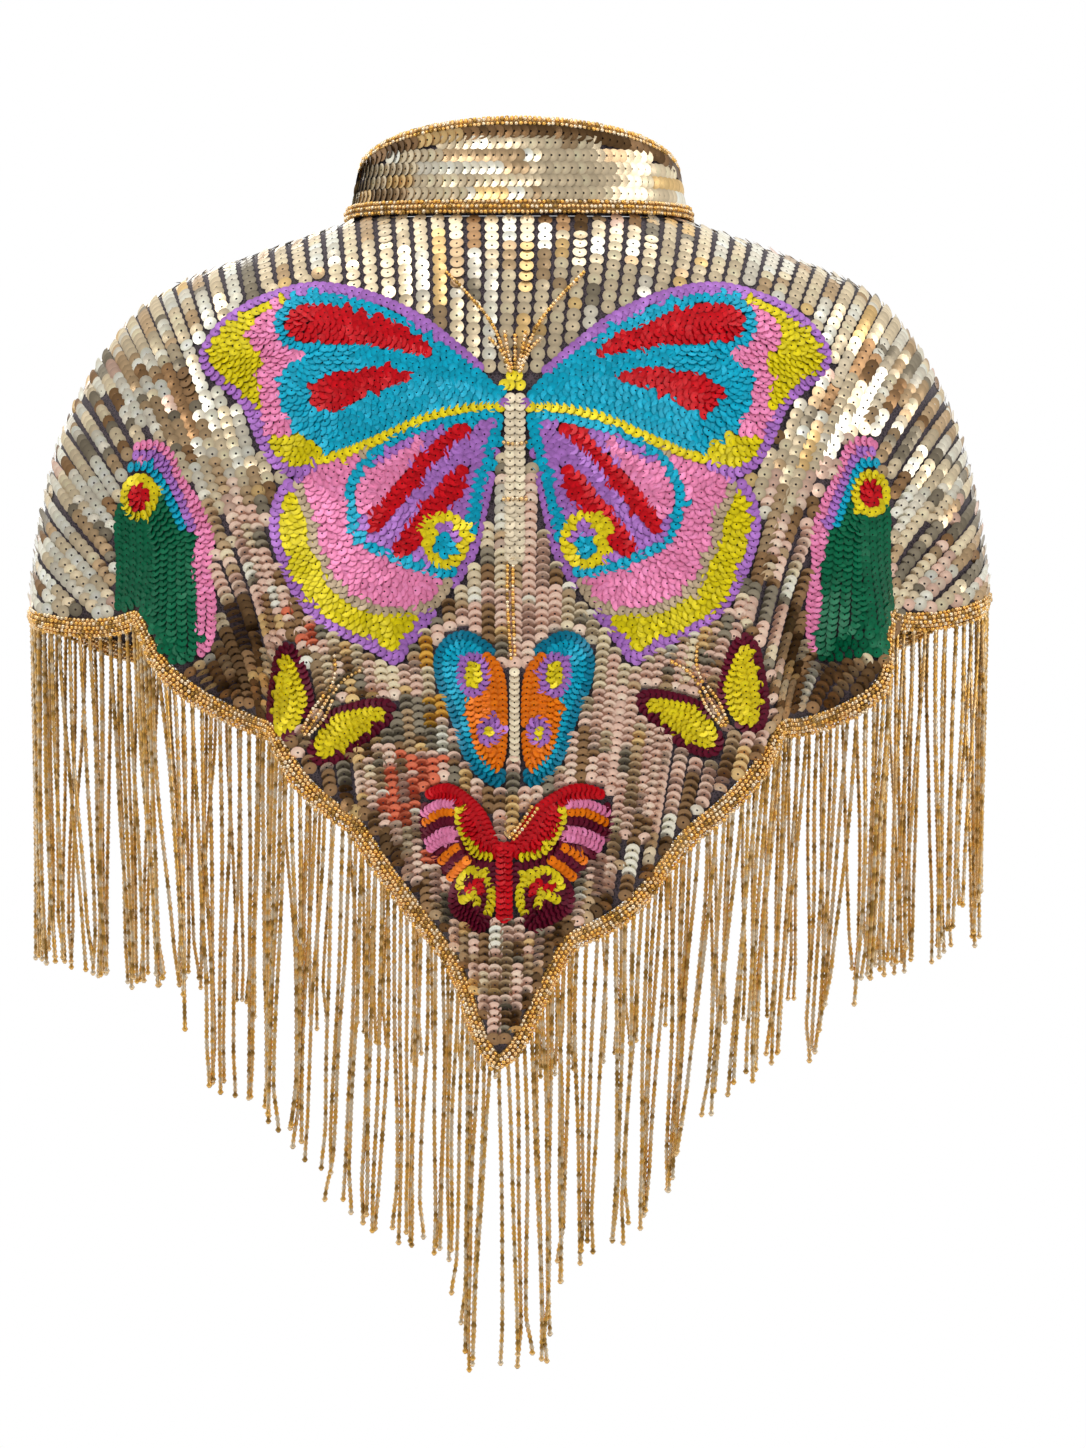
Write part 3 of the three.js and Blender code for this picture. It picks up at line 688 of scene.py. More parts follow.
def finish_of(name):
    """A material of the cape, made the first time that it's asked for."""
    colours = bpy.context.scene.cape_colours
    if name in FINISHES:
        return FINISHES[name]
    if name in TINTED_FINISHES:
        material = tinted_material(name, **TINTED_FINISHES[name])
    elif name == "net":
        material = net_material(colours.net_thread, colours.net_gap, NET_CELL)
    elif name == "thread":
        material = thread_material("gold_thread", colours.thread, THREAD_SHADOW, THREAD_TURNS)
    else:
        material = metal_material("hook_wire", colours.wire)
    FINISHES[name] = material
    return material


# Sequins on the net

# Sequin columns lean in as they go down: their slope is their distance from the middle times these.
LEAN = 0.00146
LEAN_GROWTH = 2.96e-8
LEAN_LEVEL_Z = -60
MAX_COLUMN = 900
MOTIF_MARGIN = 1.0
COLLAR_CLEARANCE = 4.8
HEM_CLEARANCE = 1.6
# Painted shade: low on the back, sequins within this height of the hem take the dark fold golds.
HEM_SHADE = 12.0
# How high sequins stand over the cloth, and how a column begins
SEQUIN_LIFT = 1.3
SHORTEST_COLUMN = 3
FIRST_SEQUIN = (1, 5)
UP_STEP = 0.04
# The least gap between sequins high and low on the back, and the heights between which it changes
UPPER_GAP = 6.2
LOWER_GAP = 5.0
GAP_CHANGES = (90, 240)
# The heights and the distance from the middle between which the pitch changes
PITCH_CHANGES = (90, 230)
ARM_BEGINS = (150, 215)
# How loosely sequins hang by mix, and how far they lift where they are close or far apart
ARM_LOOSE = 9.0
FOLD_LOOSE = 12.0
OTHER_LOOSE = 6.0
TWIST_SHARE = 0.25
CLOSE_TILT = 30.0
FAR_TILT = 8.0
TILT_PITCHES = (4.2, 6.8)
# How often the next sequin of a column shares its neighbour's finish
SAME_FINISH = 0.55
# Where each mix of golds lies, as heights, distances from the middle and depths of a fold
LOWER_BELOW = -150
ARM_BEYOND = 170
ARM_BELOW = -70
TIP_WITHIN = 34
TIP_BELOW = -300
FOLD_DEEPER = -7
HEM_BELOW = -250
# Where the cloth lies flat enough for its columns to set which way sequins point
FLAT_CLOTH = (0.6, 0.9)
# The stops along and down the cloth between which its columns are drawn
LINE_STOPS = 241
LINE_STEP = 0.03
# Filler columns go straight down wherever there's room, in degrees from the centre back.
FILLER_LEVEL = 4.0
FILLER_FROM = 8.0
FILLER_TO = 172.0
FILLER_STEP = 0.6


def column_label(x, z):
    """Where the sequin column through x and z would stand at the level where columns are counted."""
    ratio = LEAN_GROWTH / LEAN
    grown = (1 / np.maximum(x * x, 1.0) + ratio) * np.exp(-2 * LEAN * (LEAN_LEVEL_Z - z)) - ratio
    return np.sign(x) * np.minimum(1 / np.sqrt(np.maximum(grown, 1e-9)), MAX_COLUMN + np.abs(x))


def every_eighth_first(count):
    """Numbers up to a count with every eighth first, then those between, so that gaps fill evenly."""
    numbers = np.arange(count)
    rank = np.select([numbers % 8 == 0, numbers % 4 == 0, numbers % 2 == 0], [0, 1, 2], 3)
    return numbers[np.argsort(rank, kind="stable")]


def sewn_column(angles, levels, first, sizes):
    """Levels and angles of the sequins down one line of the cloth, at the pitch of each place."""
    path = skin(angles, levels)
    steps = np.linalg.norm(np.diff(path, axis=0), axis=1)
    middle = (path[1:] + path[:-1]) / 2
    turns = np.concatenate([[0], np.cumsum(steps / pitch_at(middle[:, 0], middle[:, 2], sizes))])
    walked = np.concatenate([[0], np.cumsum(steps)])
    begin = np.interp(first, walked, turns)
    end = np.interp(walked[-1] - HEM_CLEARANCE, walked, turns)
    at = np.arange(begin, end)
    return np.interp(at, turns, levels), np.interp(at, turns, angles)


def column_lines(angle_at, turned):
    """Lines of the cloth that sequins follow: first those that lean in as they go down, then fillers."""
    spread = np.linspace(0, 1, LINE_STOPS)
    levels = np.arange(0.0, LAST_RING, LINE_STEP)
    angles = angle_at(spread[None], levels[:, None])
    flat = ring_point(angles, levels[:, None])
    labels = column_label(flat[..., 0] - ring_value("mid_x", levels)[:, None], flat[..., 2])
    if turned:
        angles, labels = angles[:, ::-1], labels[:, ::-1]
    width = bpy.context.scene.cape_sizes.column_pitch / MM
    first = math.ceil(labels.min() / width)
    count = math.floor(labels.max() / width) - first + 1
    for number in every_eighth_first(count):
        label = (first + number + 0.5) * width
        line = np.array([np.interp(label, row, angle, left=np.nan, right=np.nan)
                         for row, angle in zip(labels, angles)])
        yield line, levels
    ends = angle_at(np.array([0.0, 1.0]), FILLER_LEVEL)
    for sign in (-1, 1):
        reach = np.arange(FILLER_FROM, FILLER_TO, FILLER_STEP)
        reach = sign * reach[(sign * reach > ends.min()) & (sign * reach < ends.max())]
        for number in every_eighth_first(len(reach)):
            yield np.full(len(levels), reach[number]), levels


def mixed_golds(mixes, rng):
    """A gold for each sequin by the mix that it belongs to."""
    chosen = np.empty(len(mixes), object)
    for name in sorted(set(mixes)):
        mask = mixes == name
        mix = GOLD_MIXES[name]
        odds = np.array(list(mix.values()))
        chosen[mask] = rng.choice(list(mix), mask.sum(), p=odds / odds.sum())
    return chosen


# Stretches of the back where many sequins have another colour: middle x and z, half width and height
ACCENTS = (
    (-68, -292, 46, 50, "gold_rose", 0.55),
    (78, -268, 34, 36, "gold_grey", 0.3),
    (57, -320, 17, 17, "coral", 0.6),
    (46, -264, 9, 26, "amber", 0.6),
    (120, -226, 8, 22, "coral", 0.3),
)


def add_accents(golds, points, rng):
    """Changes some golds to the colour of the stretch that they are in."""
    for x, z, half_width, half_height, colour, share in ACCENTS:
        near = (np.abs(points[:, 0] - x) < half_width) & (np.abs(points[:, 2] - z) < half_height)
        near &= points[:, 1] > 0
        golds[near & (rng.random(len(points)) < share)] = colour


def gold_mix_at(points, angle):
    """The mix that a sequin belongs to, from where it stands."""
    depth = fold_depth(angle, points[:, 2])
    mixes = np.full(len(points), "upper", object)
    aside, z = np.abs(points[:, 0]), points[:, 2]
    mixes[z < LOWER_BELOW] = "lower"
    mixes[(aside > ARM_BEYOND) & (z < ARM_BELOW)] = "arm"
    mixes[(aside < TIP_WITHIN) & (z < TIP_BELOW)] = "lower"
    # Painted shade: sequins deep in a fold or close above the low hem take the dark fold mix.
    mixes[depth < FOLD_DEEPER] = "fold"
    mixes[(z < HEM_BELOW) & (z < hem_height(angle) + HEM_SHADE)] = "fold"
    return mixes


def pitch_at(x, z, sizes):
    """How far apart sequins are along their column: tight low on the back, looser above and on the arms."""
    tight = smoothstep(-z, *PITCH_CHANGES)
    middle = lerp(sizes.upper_pitch, sizes.lower_pitch, tight) / MM
    return lerp(middle, sizes.arm_pitch / MM, smoothstep(np.abs(x), *ARM_BEGINS))


def column_sequins(angle_at, turned, motifs, sizes, rng):
    """The gold sequins of one panel, column by column."""
    kept_points = np.zeros((0, 3))
    kept = []
    for line, levels in column_lines(angle_at, turned):
        inside = ~np.isnan(line)
        inside[inside] = levels[inside] < hem_level(line[inside])
        if inside.sum() < SHORTEST_COLUMN:
            continue
        first = COLLAR_CLEARANCE if inside[0] else rng.uniform(*FIRST_SEQUIN)
        level, angle = sewn_column(line[inside], levels[inside], first, sizes)
        if not len(level):
            continue
        spots = skin(angle, level)
        least = lerp(UPPER_GAP, LOWER_GAP, smoothstep(-spots[:, 2], *GAP_CHANGES))
        gap = np.full(len(spots), np.inf)
        if len(kept_points):
            gap = np.linalg.norm(spots[:, None] - kept_points[None], axis=-1).min(1)
        clear = np.flatnonzero(gap > least)
        for motif in motifs:
            flat = ring_point(angle[clear], level[clear])
            clear = clear[~motif.covers(flat[:, 0], flat[:, 2], MOTIF_MARGIN)]
        kept.append(np.stack([level[clear], angle[clear]]))
        kept_points = np.concatenate([kept_points, spots[clear]])
    level, angle = np.concatenate(kept, axis=1)
    points = skin(angle, level)
    pitch = pitch_at(points[:, 0], points[:, 2], sizes)
    normals = normal_of(skin, angle, level)
    higher = np.maximum(level - UP_STEP, 0)
    lean = column_lean(points[:, 0] - ring_value("mid_x", level))
    up = flattened(unit(skin(angle, higher) - skin(angle, level + UP_STEP)), normals)
    wanted = flattened(np.stack([lean, np.zeros(len(lean)), np.ones(len(lean))], -1), normals)
    flatness = np.abs(normals[:, 2:3])
    up = unit(lerp(wanted, up, smoothstep(flatness, *FLAT_CLOTH)))
    mixes = gold_mix_at(points, angle)
    count = len(points)
    same = run_starts(count, SAME_FINISH, rng)
    golds = mixed_golds(mixes, rng)
    add_accents(golds, points, rng)
    golds = golds[same]
    loose = np.where(mixes == "arm", ARM_LOOSE, np.where(mixes == "fold", FOLD_LOOSE, OTHER_LOOSE))
    tilt = lerp(CLOSE_TILT, FAR_TILT, smoothstep(pitch, *TILT_PITCHES))
    return {
        "points": points,
        "along": up,
        "normals": normals,
        "radius": np.full(count, sizes.sequin_radius / MM),
        "lift": np.full(count, SEQUIN_LIFT),
        "tilt": tilt + (rng.normal(0, 1, count) * loose)[same],
        "loose": loose * TWIST_SHARE,
        "tints": colours_of(golds, rng),
    }


def run_starts(count, keep, rng):
    """For each sequin of a column, the one whose finish it shares: sequins come in runs from one string."""
    own = np.where(rng.random(count) < keep, 0, np.arange(count))
    return np.maximum.accumulate(own)


def column_lean(x):
    return x * (LEAN + LEAN_GROWTH * x * x)


# Motifs, drawn flat as seen from behind: u runs to the cape's right, and v runs up.

ROW_SPACING = 5.4
EDGE_INSET = 3.0
OUTLINE_STEP = 0.8
CURVE_STEPS = np.linspace(0, 1, 16, endpoint=False)[:, None]
# Rows are fanned out round hollow corners, no further apart than this, and stop past the deepest place.
FAN_STEP = math.radians(4)
DEEPEST_ROW = 60
RUN_BREAK = 6.0
SHORTEST_RUN = 3
# How near a row may come to the far edge, as a share of its own depth less a slack
ROW_REACH = 0.98
ROW_SLACK = 0.25
# Points of an outline compared at one time, and how far round a layer its covered points are looked for
CHUNK = 200
COVER_REACH = 9
# Patches in the gaps between rows, as shares of a sequin's radius and of the inset
PATCH_GAP = 0.86
PATCH_STEP = 0.5
PATCH_INSET = 0.8
MOTIF_SIDES = 10
# Coloured sequins on the cloth: finer designs stand up more, and later layers lie higher.
MOTIF_TILT = 13.0
MOTIF_TILT_GROWTH = 48
MOTIF_LOOSE = 2.8
MOTIF_COLOUR_CHANGE = 0.14
MOTIF_LIFT = 1.7
LAYER_LIFT = 0.25
TOP_LAYER = 6
WAY_STEP = 1.5
SEAM_MARGIN_ANGLE = 2
HEM_MARGIN_LEVEL = 0.02
SPOT_STOPS = 12
PITCH_POWER = 1.3


def smooth_outline(points):
    """A closed smooth curve through a few points, with its own points a step apart."""
    points = np.asarray(points, float)
    stops = (np.roll(points, shift, 0)[:, None] for shift in (1, 0, -1, -2))
    dense = smooth_between(*stops, CURVE_STEPS).reshape(-1, 2)
    return resample(np.concatenate([dense, dense[:1]]), OUTLINE_STEP, 0.0)[0]


def smooth_line(points):
    """An open smooth curve through a few points."""
    points = np.asarray(points, float)
    padded = np.concatenate([2 * points[:1] - points[1:2], points, 2 * points[-1:] - points[-2:-1]])
    stops = (padded[k:len(padded) - 3 + k][:, None] for k in range(4))
    dense = smooth_between(*stops, CURVE_STEPS)
    return np.concatenate([dense.reshape(-1, 2), points[-1:]])


def is_inside(outline, u, v):
    """Which points lie within a closed outline."""
    inside = np.zeros(u.shape, bool)
    after = np.roll(outline, -1, 0)
    for (u0, v0), (u1, v1) in zip(outline, after):
        if v0 != v1:
            crosses = (v0 > v) != (v1 > v)
            inside ^= crosses & (u < (u1 - u0) * (v - v0) / (v1 - v0) + u0)
    return inside


def distance_to(outline, u, v):
    points = np.stack([u, v], -1)
    best = np.full(len(points), np.inf)
    for start in range(0, len(outline), CHUNK):
        part = outline[start:start + CHUNK]
        gap = np.linalg.norm(points[:, None] - part[None], axis=-1).min(1)
        best = np.minimum(best, gap)
    return best


def split_runs(row, keep, step):
    """The stretches of a closed row that are kept."""
    if keep.all():
        return [np.concatenate([row, row[:1]])]
    start = int(np.argmin(keep))
    row, keep = np.roll(row, -start, 0), np.roll(keep, -start)
    runs, current = [], []
    for point, kept in zip(row, keep):
        broken = len(current) > 0 and np.linalg.norm(point - current[-1]) > step
        if (not kept or broken) and current:
            runs.append(np.array(current))
            current = []
        if kept:
            current.append(point)
    if current:
        runs.append(np.array(current))
    return [run for run in runs if len(run) >= SHORTEST_RUN]


def inset_rows(outline, first, spacing):
    """Rows that follow an outline, each further in than the last, fanned out round its hollow corners."""
    area = np.sum(outline[:, 0] * np.roll(outline[:, 1], -1) - np.roll(outline[:, 0], -1) * outline[:, 1])
    closed = np.concatenate([outline, outline[:1]])
    ahead = unit(np.roll(outline, -1, 0) - np.roll(outline, 1, 0)) * np.sign(area)
    heading = np.unwrap(np.arctan2(ahead[:, 0], -ahead[:, 1]))
    last = heading[-1] + np.angle(np.exp(1j * (heading[0] - heading[-1])))
    heading = np.concatenate([heading, [last]])
    pieces = np.ceil(np.abs(np.diff(heading)) / FAN_STEP).astype(int) + 1
    fine = np.concatenate([i + np.arange(count) / count for i, count in enumerate(pieces)])
    index = np.arange(len(closed))
    start = np.stack([np.interp(fine, index, closed[:, k]) for k in range(2)], -1)
    turn = np.interp(fine, index, heading)
    inward = np.stack([np.cos(turn), np.sin(turn)], -1)
    rows = []
    distance = first
    while distance < DEEPEST_ROW:
        row = start + inward * distance
        keep = is_inside(outline, row[:, 0], row[:, 1])
        keep &= distance_to(outline, row[:, 0], row[:, 1]) > distance * ROW_REACH - ROW_SLACK
        if not keep.any():
            break
        rows.append(split_runs(row, keep, RUN_BREAK))
        distance += spacing
    return rows


class Motif:
    """A design of sequins: layers of outlines and lines, laid over one another."""

    def __init__(self, name, centre_x, centre_z, turn=0.0, grain=1.0, left_width=1.0):
        self.name = name
        self.centre = (centre_x, centre_z)
        self.turn = np.radians(turn)
        self.grain = grain
        self.left_width = left_width
        self.layers = []
        self.bead_lines = []

    def fill(self, outline, colours, mirror=True):
        """Adds an outline whose rows take the colours from its edge in."""
        for side in self.sides(mirror):
            points = smooth_outline(np.asarray(outline, float) * (side, 1))
            rows = inset_rows(points, EDGE_INSET * self.grain, ROW_SPACING * self.grain)
            self.layers.append({"outline": points, "rows": rows, "colours": colours})

    def line(self, points, colour, rows=1, mirror=True):
        """Adds rows of sequins side by side along a line."""
        spacing = ROW_SPACING * self.grain
        for side in self.sides(mirror):
            path = smooth_line(np.asarray(points, float) * (side, 1))
            ahead = unit(np.gradient(path, axis=0))
            across = np.stack([-ahead[:, 1], ahead[:, 0]], -1)
            offsets = (np.arange(rows) - (rows - 1) / 2) * spacing
            half = (rows - 1) * spacing / 2 + EDGE_INSET * self.grain
            band = np.concatenate([path + across * half, (path - across * half)[::-1]])
            self.layers.append({
                "outline": band,
                "rows": [[path + across * offset] for offset in offsets],
                "colours": [colour],
            })

    def ring(self, centre, radii, colours, mirror=True):
        """Adds a round spot whose rings take the colours from the outside in."""
        turn = np.linspace(0, 2 * np.pi, SPOT_STOPS, endpoint=False)
        outline = np.stack([np.cos(turn) * radii[0] + centre[0], np.sin(turn) * radii[1] + centre[1]], -1)
        self.fill(outline, colours, mirror=mirror)

    def beads(self, points, mirror=True):
        """Adds a line of small gold beads over the sequins."""
        for side in self.sides(mirror):
            self.bead_lines.append(np.asarray(points, float) * (side, 1))

    def sides(self, mirror):
        return (1, -1) if mirror else (1,)

    def to_back(self, points):
        """Flat motif points as x and z of the back."""
        u = np.where(points[:, 0] < 0, points[:, 0] * self.left_width, points[:, 0])
        v = points[:, 1]
        across = u * np.cos(self.turn) - v * np.sin(self.turn)
        rise = u * np.sin(self.turn) + v * np.cos(self.turn)
        return self.centre[0] - across, self.centre[1] + rise

    def from_back(self, x, z):
        """The same turned round: x and z of the back as the motif's own flat points."""
        across, rise = self.centre[0] - x, z - self.centre[1]
        u = across * np.cos(self.turn) + rise * np.sin(self.turn)
        v = rise * np.cos(self.turn) - across * np.sin(self.turn)
        return np.where(u < 0, u / self.left_width, u), v

    def covers(self, x, z, margin):
        """Which points of the back lie on the motif or within a margin of it."""
        u, v = self.from_back(x, z)
        covered = np.zeros(len(u), bool)
        for layer in self.layers:
            outline = layer["outline"]
            low, high = outline.min(0) - COVER_REACH, outline.max(0) + COVER_REACH
            near = (u > low[0]) & (u < high[0]) & (v > low[1]) & (v < high[1]) & ~covered
            if near.any():
                hit = is_inside(outline, u[near], v[near])
                hit |= distance_to(outline, u[near], v[near]) < margin
                covered[near] |= hit
        return covered

    def placed_bead_lines(self):
        """The bead lines as x and z of the back."""
        return [np.stack(self.to_back(smooth_line(line)), -1) for line in self.bead_lines]

    def field(self, sizes, rng):
        """The sequins of the design, where no later layer lies over them."""
        radius = sizes.motif_radius / MM * (1 + self.grain) / 2
        pitch = sizes.motif_pitch / MM * self.grain ** PITCH_POWER
        parts = []
        for order, layer in enumerate(self.layers):
            for number, runs in enumerate(layer["rows"]):
                colour = layer["colours"][min(number, len(layer["colours"]) - 1)]
                for run in runs:
                    spots, ways = resample(run, pitch)
                    if not len(spots):
                        continue
                    clear = np.ones(len(spots), bool)
                    for later in self.layers[order + 1:]:
                        clear &= ~is_inside(later["outline"], spots[:, 0], spots[:, 1])
                    if clear.any():
                        parts.append((spots[clear], ways[clear], colour, order))
        parts += self.patches(parts, radius)
        spots, ways = (np.concatenate([part[k] for part in parts]) for k in (0, 1))
        names, rank = (np.concatenate([np.full(len(part[0]), part[k]) for part in parts]) for k in (2, 3))
        return self.on_cloth(spots, ways, names, rank, radius, rng)

    def patches(self, parts, radius):
        """Single sequins for the gaps that the rows of each layer leave, each like its nearest neighbour."""
        found = []
        gap = radius * PATCH_GAP
        rows = [(spot, way, part[2]) for part in parts for spot, way in zip(part[0], part[1])]
        tree = KDTree(len(rows))
        for number, (spot, way, colour) in enumerate(rows):
            tree.insert((*spot, 0), number)
        tree.balance()
        for order, layer in enumerate(self.layers):
            outline = layer["outline"]
            low, high = outline.min(0), outline.max(0)
            spans = (np.arange(start, end, radius * PATCH_STEP) for start, end in zip(low, high))
            u, v = (axis.ravel() for axis in np.meshgrid(*spans))
            clear = np.array([tree.find((a, b, 0))[2] > gap for a, b in zip(u, v)], bool)
            u, v = u[clear], v[clear]
            clear = is_inside(outline, u, v)
            for later in self.layers[order + 1:]:
                clear &= ~is_inside(later["outline"], u, v)
            u, v = u[clear], v[clear]
            clear = distance_to(outline, u, v) > EDGE_INSET * self.grain * PATCH_INSET
            for spot in np.stack([u[clear], v[clear]], -1):
                if all(np.sum((spot - patch[0][0]) ** 2) > gap ** 2 for patch in found):
                    near = rows[tree.find((*spot, 0))[1]]
                    found.append((spot[None], near[1][None], near[2], order))
        return found

    def on_cloth(self, spots, ways, names, rank, radius, rng):
        """The sequins laid on the back, less those past its side seam or its hem."""
        angle, level = place_on_back(*self.to_back(spots))
        ahead_angle, ahead_level = place_on_back(*self.to_back(spots + ways * WAY_STEP))
        points = skin(angle, level)
        normals = normal_of(skin, angle, level)
        along = flattened(skin(ahead_angle, ahead_level) - points, normals)
        on_panel = np.abs(angle) < SIDE_SEAM_ANGLE - SEAM_MARGIN_ANGLE
        on_panel &= level < hem_level(angle) - HEM_MARGIN_LEVEL
        count = len(points)
        field = {
            "points": points,
            "along": along,
            "normals": normals,
            "radius": np.full(count, radius),
            "lift": MOTIF_LIFT + LAYER_LIFT * np.minimum(rank, TOP_LAYER) / 2,
            "tilt": np.full(count, MOTIF_TILT + MOTIF_TILT_GROWTH * (1 - self.grain)),
            "loose": np.full(count, MOTIF_LOOSE),
            "tints": colours_of(names, rng, MOTIF_COLOUR_CHANGE),
        }
        return pick(field, on_panel)


def large_butterfly():
    """The widest design, across the shoulder blades."""
    motif = Motif("butterfly_large", 1.5, -146)
    motif.fill([
        (8, 24), (44, 18), (84, 8), (118, -2), (131, -12), (136, -31), (132, -50), (123, -70),
        (110, -86), (90, -97), (76, -104), (65, -110), (56, -99), (45, -85), (34, -71), (27, -60),
        (20, -47), (15, -25), (11, -5),
    ], ["violet", "chartreuse"])
    motif.fill([
        (14, 20), (44, 14), (80, 12), (102, 5), (121, -2), (121, -17), (115, -30), (114, -43), (107, -54),
        (104, -65), (90, -77), (73, -83), (58, -83), (45, -80), (36, -70), (33, -60), (30, -40), (26, -10),
    ], ["tan", "pink"])
    motif.fill([
        (7, 30), (30, 29), (57, 22), (78, 11), (92, -7), (93, -26), (86, -43), (68, -53), (51, -60),
        (36, -62), (28, -55), (21, -38), (17, -18), (12, 4),
    ], ["turquoise", "violet"])
    motif.fill([
        (46, 17), (64, 9), (79, 0), (87, -10), (87, -24), (78, -29), (68, -13), (56, 2),
    ], ["pink"])
    motif.fill([
        (20, 22), (33, 23), (45, 13), (59, -2), (74, -19), (82, -32), (78, -39), (66, -26), (53, -11),
        (42, 3), (31, 13),
    ], ["red"])
    motif.fill([
        (24, 3), (37, -4), (48, -18), (61, -33), (68, -46), (62, -51), (50, -42), (40, -28), (30, -20),
        (27, -8),
    ], ["red"])
    motif.ring((38, -41), (13.5, 16.5), ["yellow", "violet"])
    motif.ring((38.5, -44), (7, 7.5), ["turquoise", "teal"])
    motif.fill([
        (5, 42), (15, 54), (30, 68), (50, 84), (70, 95), (89, 102), (110, 106), (128, 104), (150, 96),
        (167, 84), (177, 68), (175, 56), (165, 46), (152, 34), (143, 14), (134, 0), (122, -6),
        (108, -2), (98, 6), (74, 14), (52, 24), (28, 30), (5, 31),
    ], ["violet", "chartreuse"])
    motif.fill([
        (130, 95), (139, 90), (147, 83), (149, 74), (146, 67), (141, 60), (143, 52), (143, 43),
        (141, 36), (141, 26), (135, 18), (124, 17), (112, 30), (108, 50), (112, 80),
    ], ["pink"])
    motif.fill([
        (6, 36), (15, 50), (30, 62), (46, 73.5), (61, 83.5), (76, 91), (90, 96), (105, 99), (120, 98.5),
        (130, 94), (135, 85), (134, 75), (130, 68), (117, 63), (126, 58), (131, 50), (132, 39),
        (128, 28), (121, 20), (108, 11), (98, 8), (74, 18), (50, 28), (28, 33),
    ], ["turquoise"])
    motif.fill([
        (36, 57.5), (47, 66.5), (61, 75), (76, 83), (90, 89), (105, 93), (119, 92.5), (127, 88),
        (129, 80.5), (126, 73.5), (118, 70), (105, 68.5), (90, 68), (76, 66), (61, 63), (47, 60),
    ], ["red"])
    motif.fill([
        (51, 49), (65, 54.5), (79, 56), (92, 54.5), (104, 53), (111, 47), (114, 40), (112, 33),
        (105, 30), (96, 31), (87, 36.5), (76, 41.5), (62, 46),
    ], ["red"])
    motif.line([(6, 33), (28, 32), (51, 26), (75, 15), (98, 6), (110, 4)], "yellow")
    motif.line([(0, 40), (0, 10), (0, -26), (0, -52)], "champagne", 2, mirror=False)
    motif.line([(-6, 45), (6, 45)], "yellow", mirror=False)
    motif.line([(-2, 50), (2, 50)], "yellow", mirror=False)
    motif.beads([(2, 51), (7, 66), (14, 81), (26, 96), (39, 110)])
    motif.beads([(3, 52), (8, 64), (15, 72)])
    motif.beads([(1, 53), (4, 64), (6, 76)])
    motif.beads([(0, 53), (0, 64), (0, 74)], mirror=False)
    motif.beads([(-8, 13), (0, 12), (8, 13)], mirror=False)
    motif.beads([(-8, -19), (0, -18), (8, -19)], mirror=False)
    motif.beads([(-4, -54), (-4, -76), (-2, -108)], mirror=False)
    motif.beads([(-1, -54), (-1, -78), (0, -106)], mirror=False)
    return motif


def blue_butterfly():
    """A teal and orange design under the large one."""
    motif = Motif("butterfly_blue", 1.8, -275, grain=0.8)
    motif.fill([
        (9, 22), (15, 32), (27, 38), (38, 34), (44, 23), (42, 8), (37, -4), (33, -14), (29, -27),
        (22, -39), (11, -47), (5, -44), (5, -20),
    ], ["teal", "turquoise"])
    motif.fill([
        (5, 12), (14, 26), (22, 24), (26, 10), (26, -6), (22, -24), (15, -36), (8, -39), (4, -24),
    ], ["orange"])
    motif.ring((22, 14), (9.5, 12.5), ["violet", "yellow"])
    motif.ring((13, -17), (7, 8.5), ["violet", "yellow"])
    motif.line([(0, 17), (0, -6), (0, -33)], "champagne", mirror=False)
    return motif


def red_butterfly():
    """A striped red design near the tip, drawn in by the fold on its left."""
    motif = Motif("butterfly_red", 7.5, -363, grain=0.76, left_width=0.76)
    motif.fill([(6, 2), (32, 30), (59, 31), (60, 16), (56, 6), (46, -3), (38, -11), (26, -4)], ["maroon"])
    motif.fill([
        (4, -3), (19, -1), (31, -6), (38, -18), (37, -28), (26, -35), (15, -39), (7, -29),
    ], ["maroon"])
    motif.line([(11, -30), (8, -20), (11, -9), (20, -5), (28, -9), (31, -15)], "yellow")
    motif.line([(14, -19), (17, -12), (25, -16)], "red")
    motif.line([(17, -26), (20, -18), (29, -22)], "yellow")
    for colour, points, rows in (
        ("pink", [(33, 31), (46, 31), (59, 26)], 1), ("orange", [(34, 26.5), (46, 26), (58, 20.5)], 1),
        ("maroon", [(33, 22), (45, 21), (57, 15.5)], 1), ("pink", [(32, 15), (44, 13), (55, 8)], 2),
        ("orange", [(31, 7.5), (38, 4), (45, -1)], 1), ("maroon", [(28, 4), (35, 0), (41, -5)], 1),
        ("orange", [(24, 1), (31, -4), (38, -10)], 1),
    ):
        motif.line(points, colour, rows)
    motif.fill([
        (2, 4), (5, 13), (13, 27), (26, 37), (39, 42), (52, 40), (60, 34), (46, 34), (33, 31), (30, 20),
        (23, 7), (13, 1),
    ], ["red"])
    motif.line([(31, 30), (31, 21), (26, 12), (20, 5), (8, 2)], "yellow")
    motif.line([(0, 10), (0, -8), (0, -31)], "red", 2, mirror=False)
    motif.beads([(2, 12), (8, 20), (15, 31)], mirror=False)
    motif.beads([(4, 11), (11, 20), (18, 30)], mirror=False)
    return motif


def small_butterfly(name, centre_x, centre_z, turn):
    """A yellow design with dark wing edges."""
    motif = Motif(name, centre_x, centre_z, turn, grain=0.8)
    motif.fill([
        (3, -4), (5, -19), (14, -24), (25, -14), (32, 2), (37, 18), (33, 27), (22, 23), (10, 12), (4, 4),
    ], ["maroon"])
    motif.fill([
        (5, -6), (7, -16), (13, -20), (21, -10), (27, 3), (31, 17), (27, 21), (19, 15), (9, 6),
    ], ["yellow"])
    motif.beads([(2.5, 12), (3.5, 0), (1.5, -13)])
    motif.beads([(0, 13), (0, -14)], mirror=False)
    motif.beads([(1, 13), (3, 24), (9, 34)])
    return motif


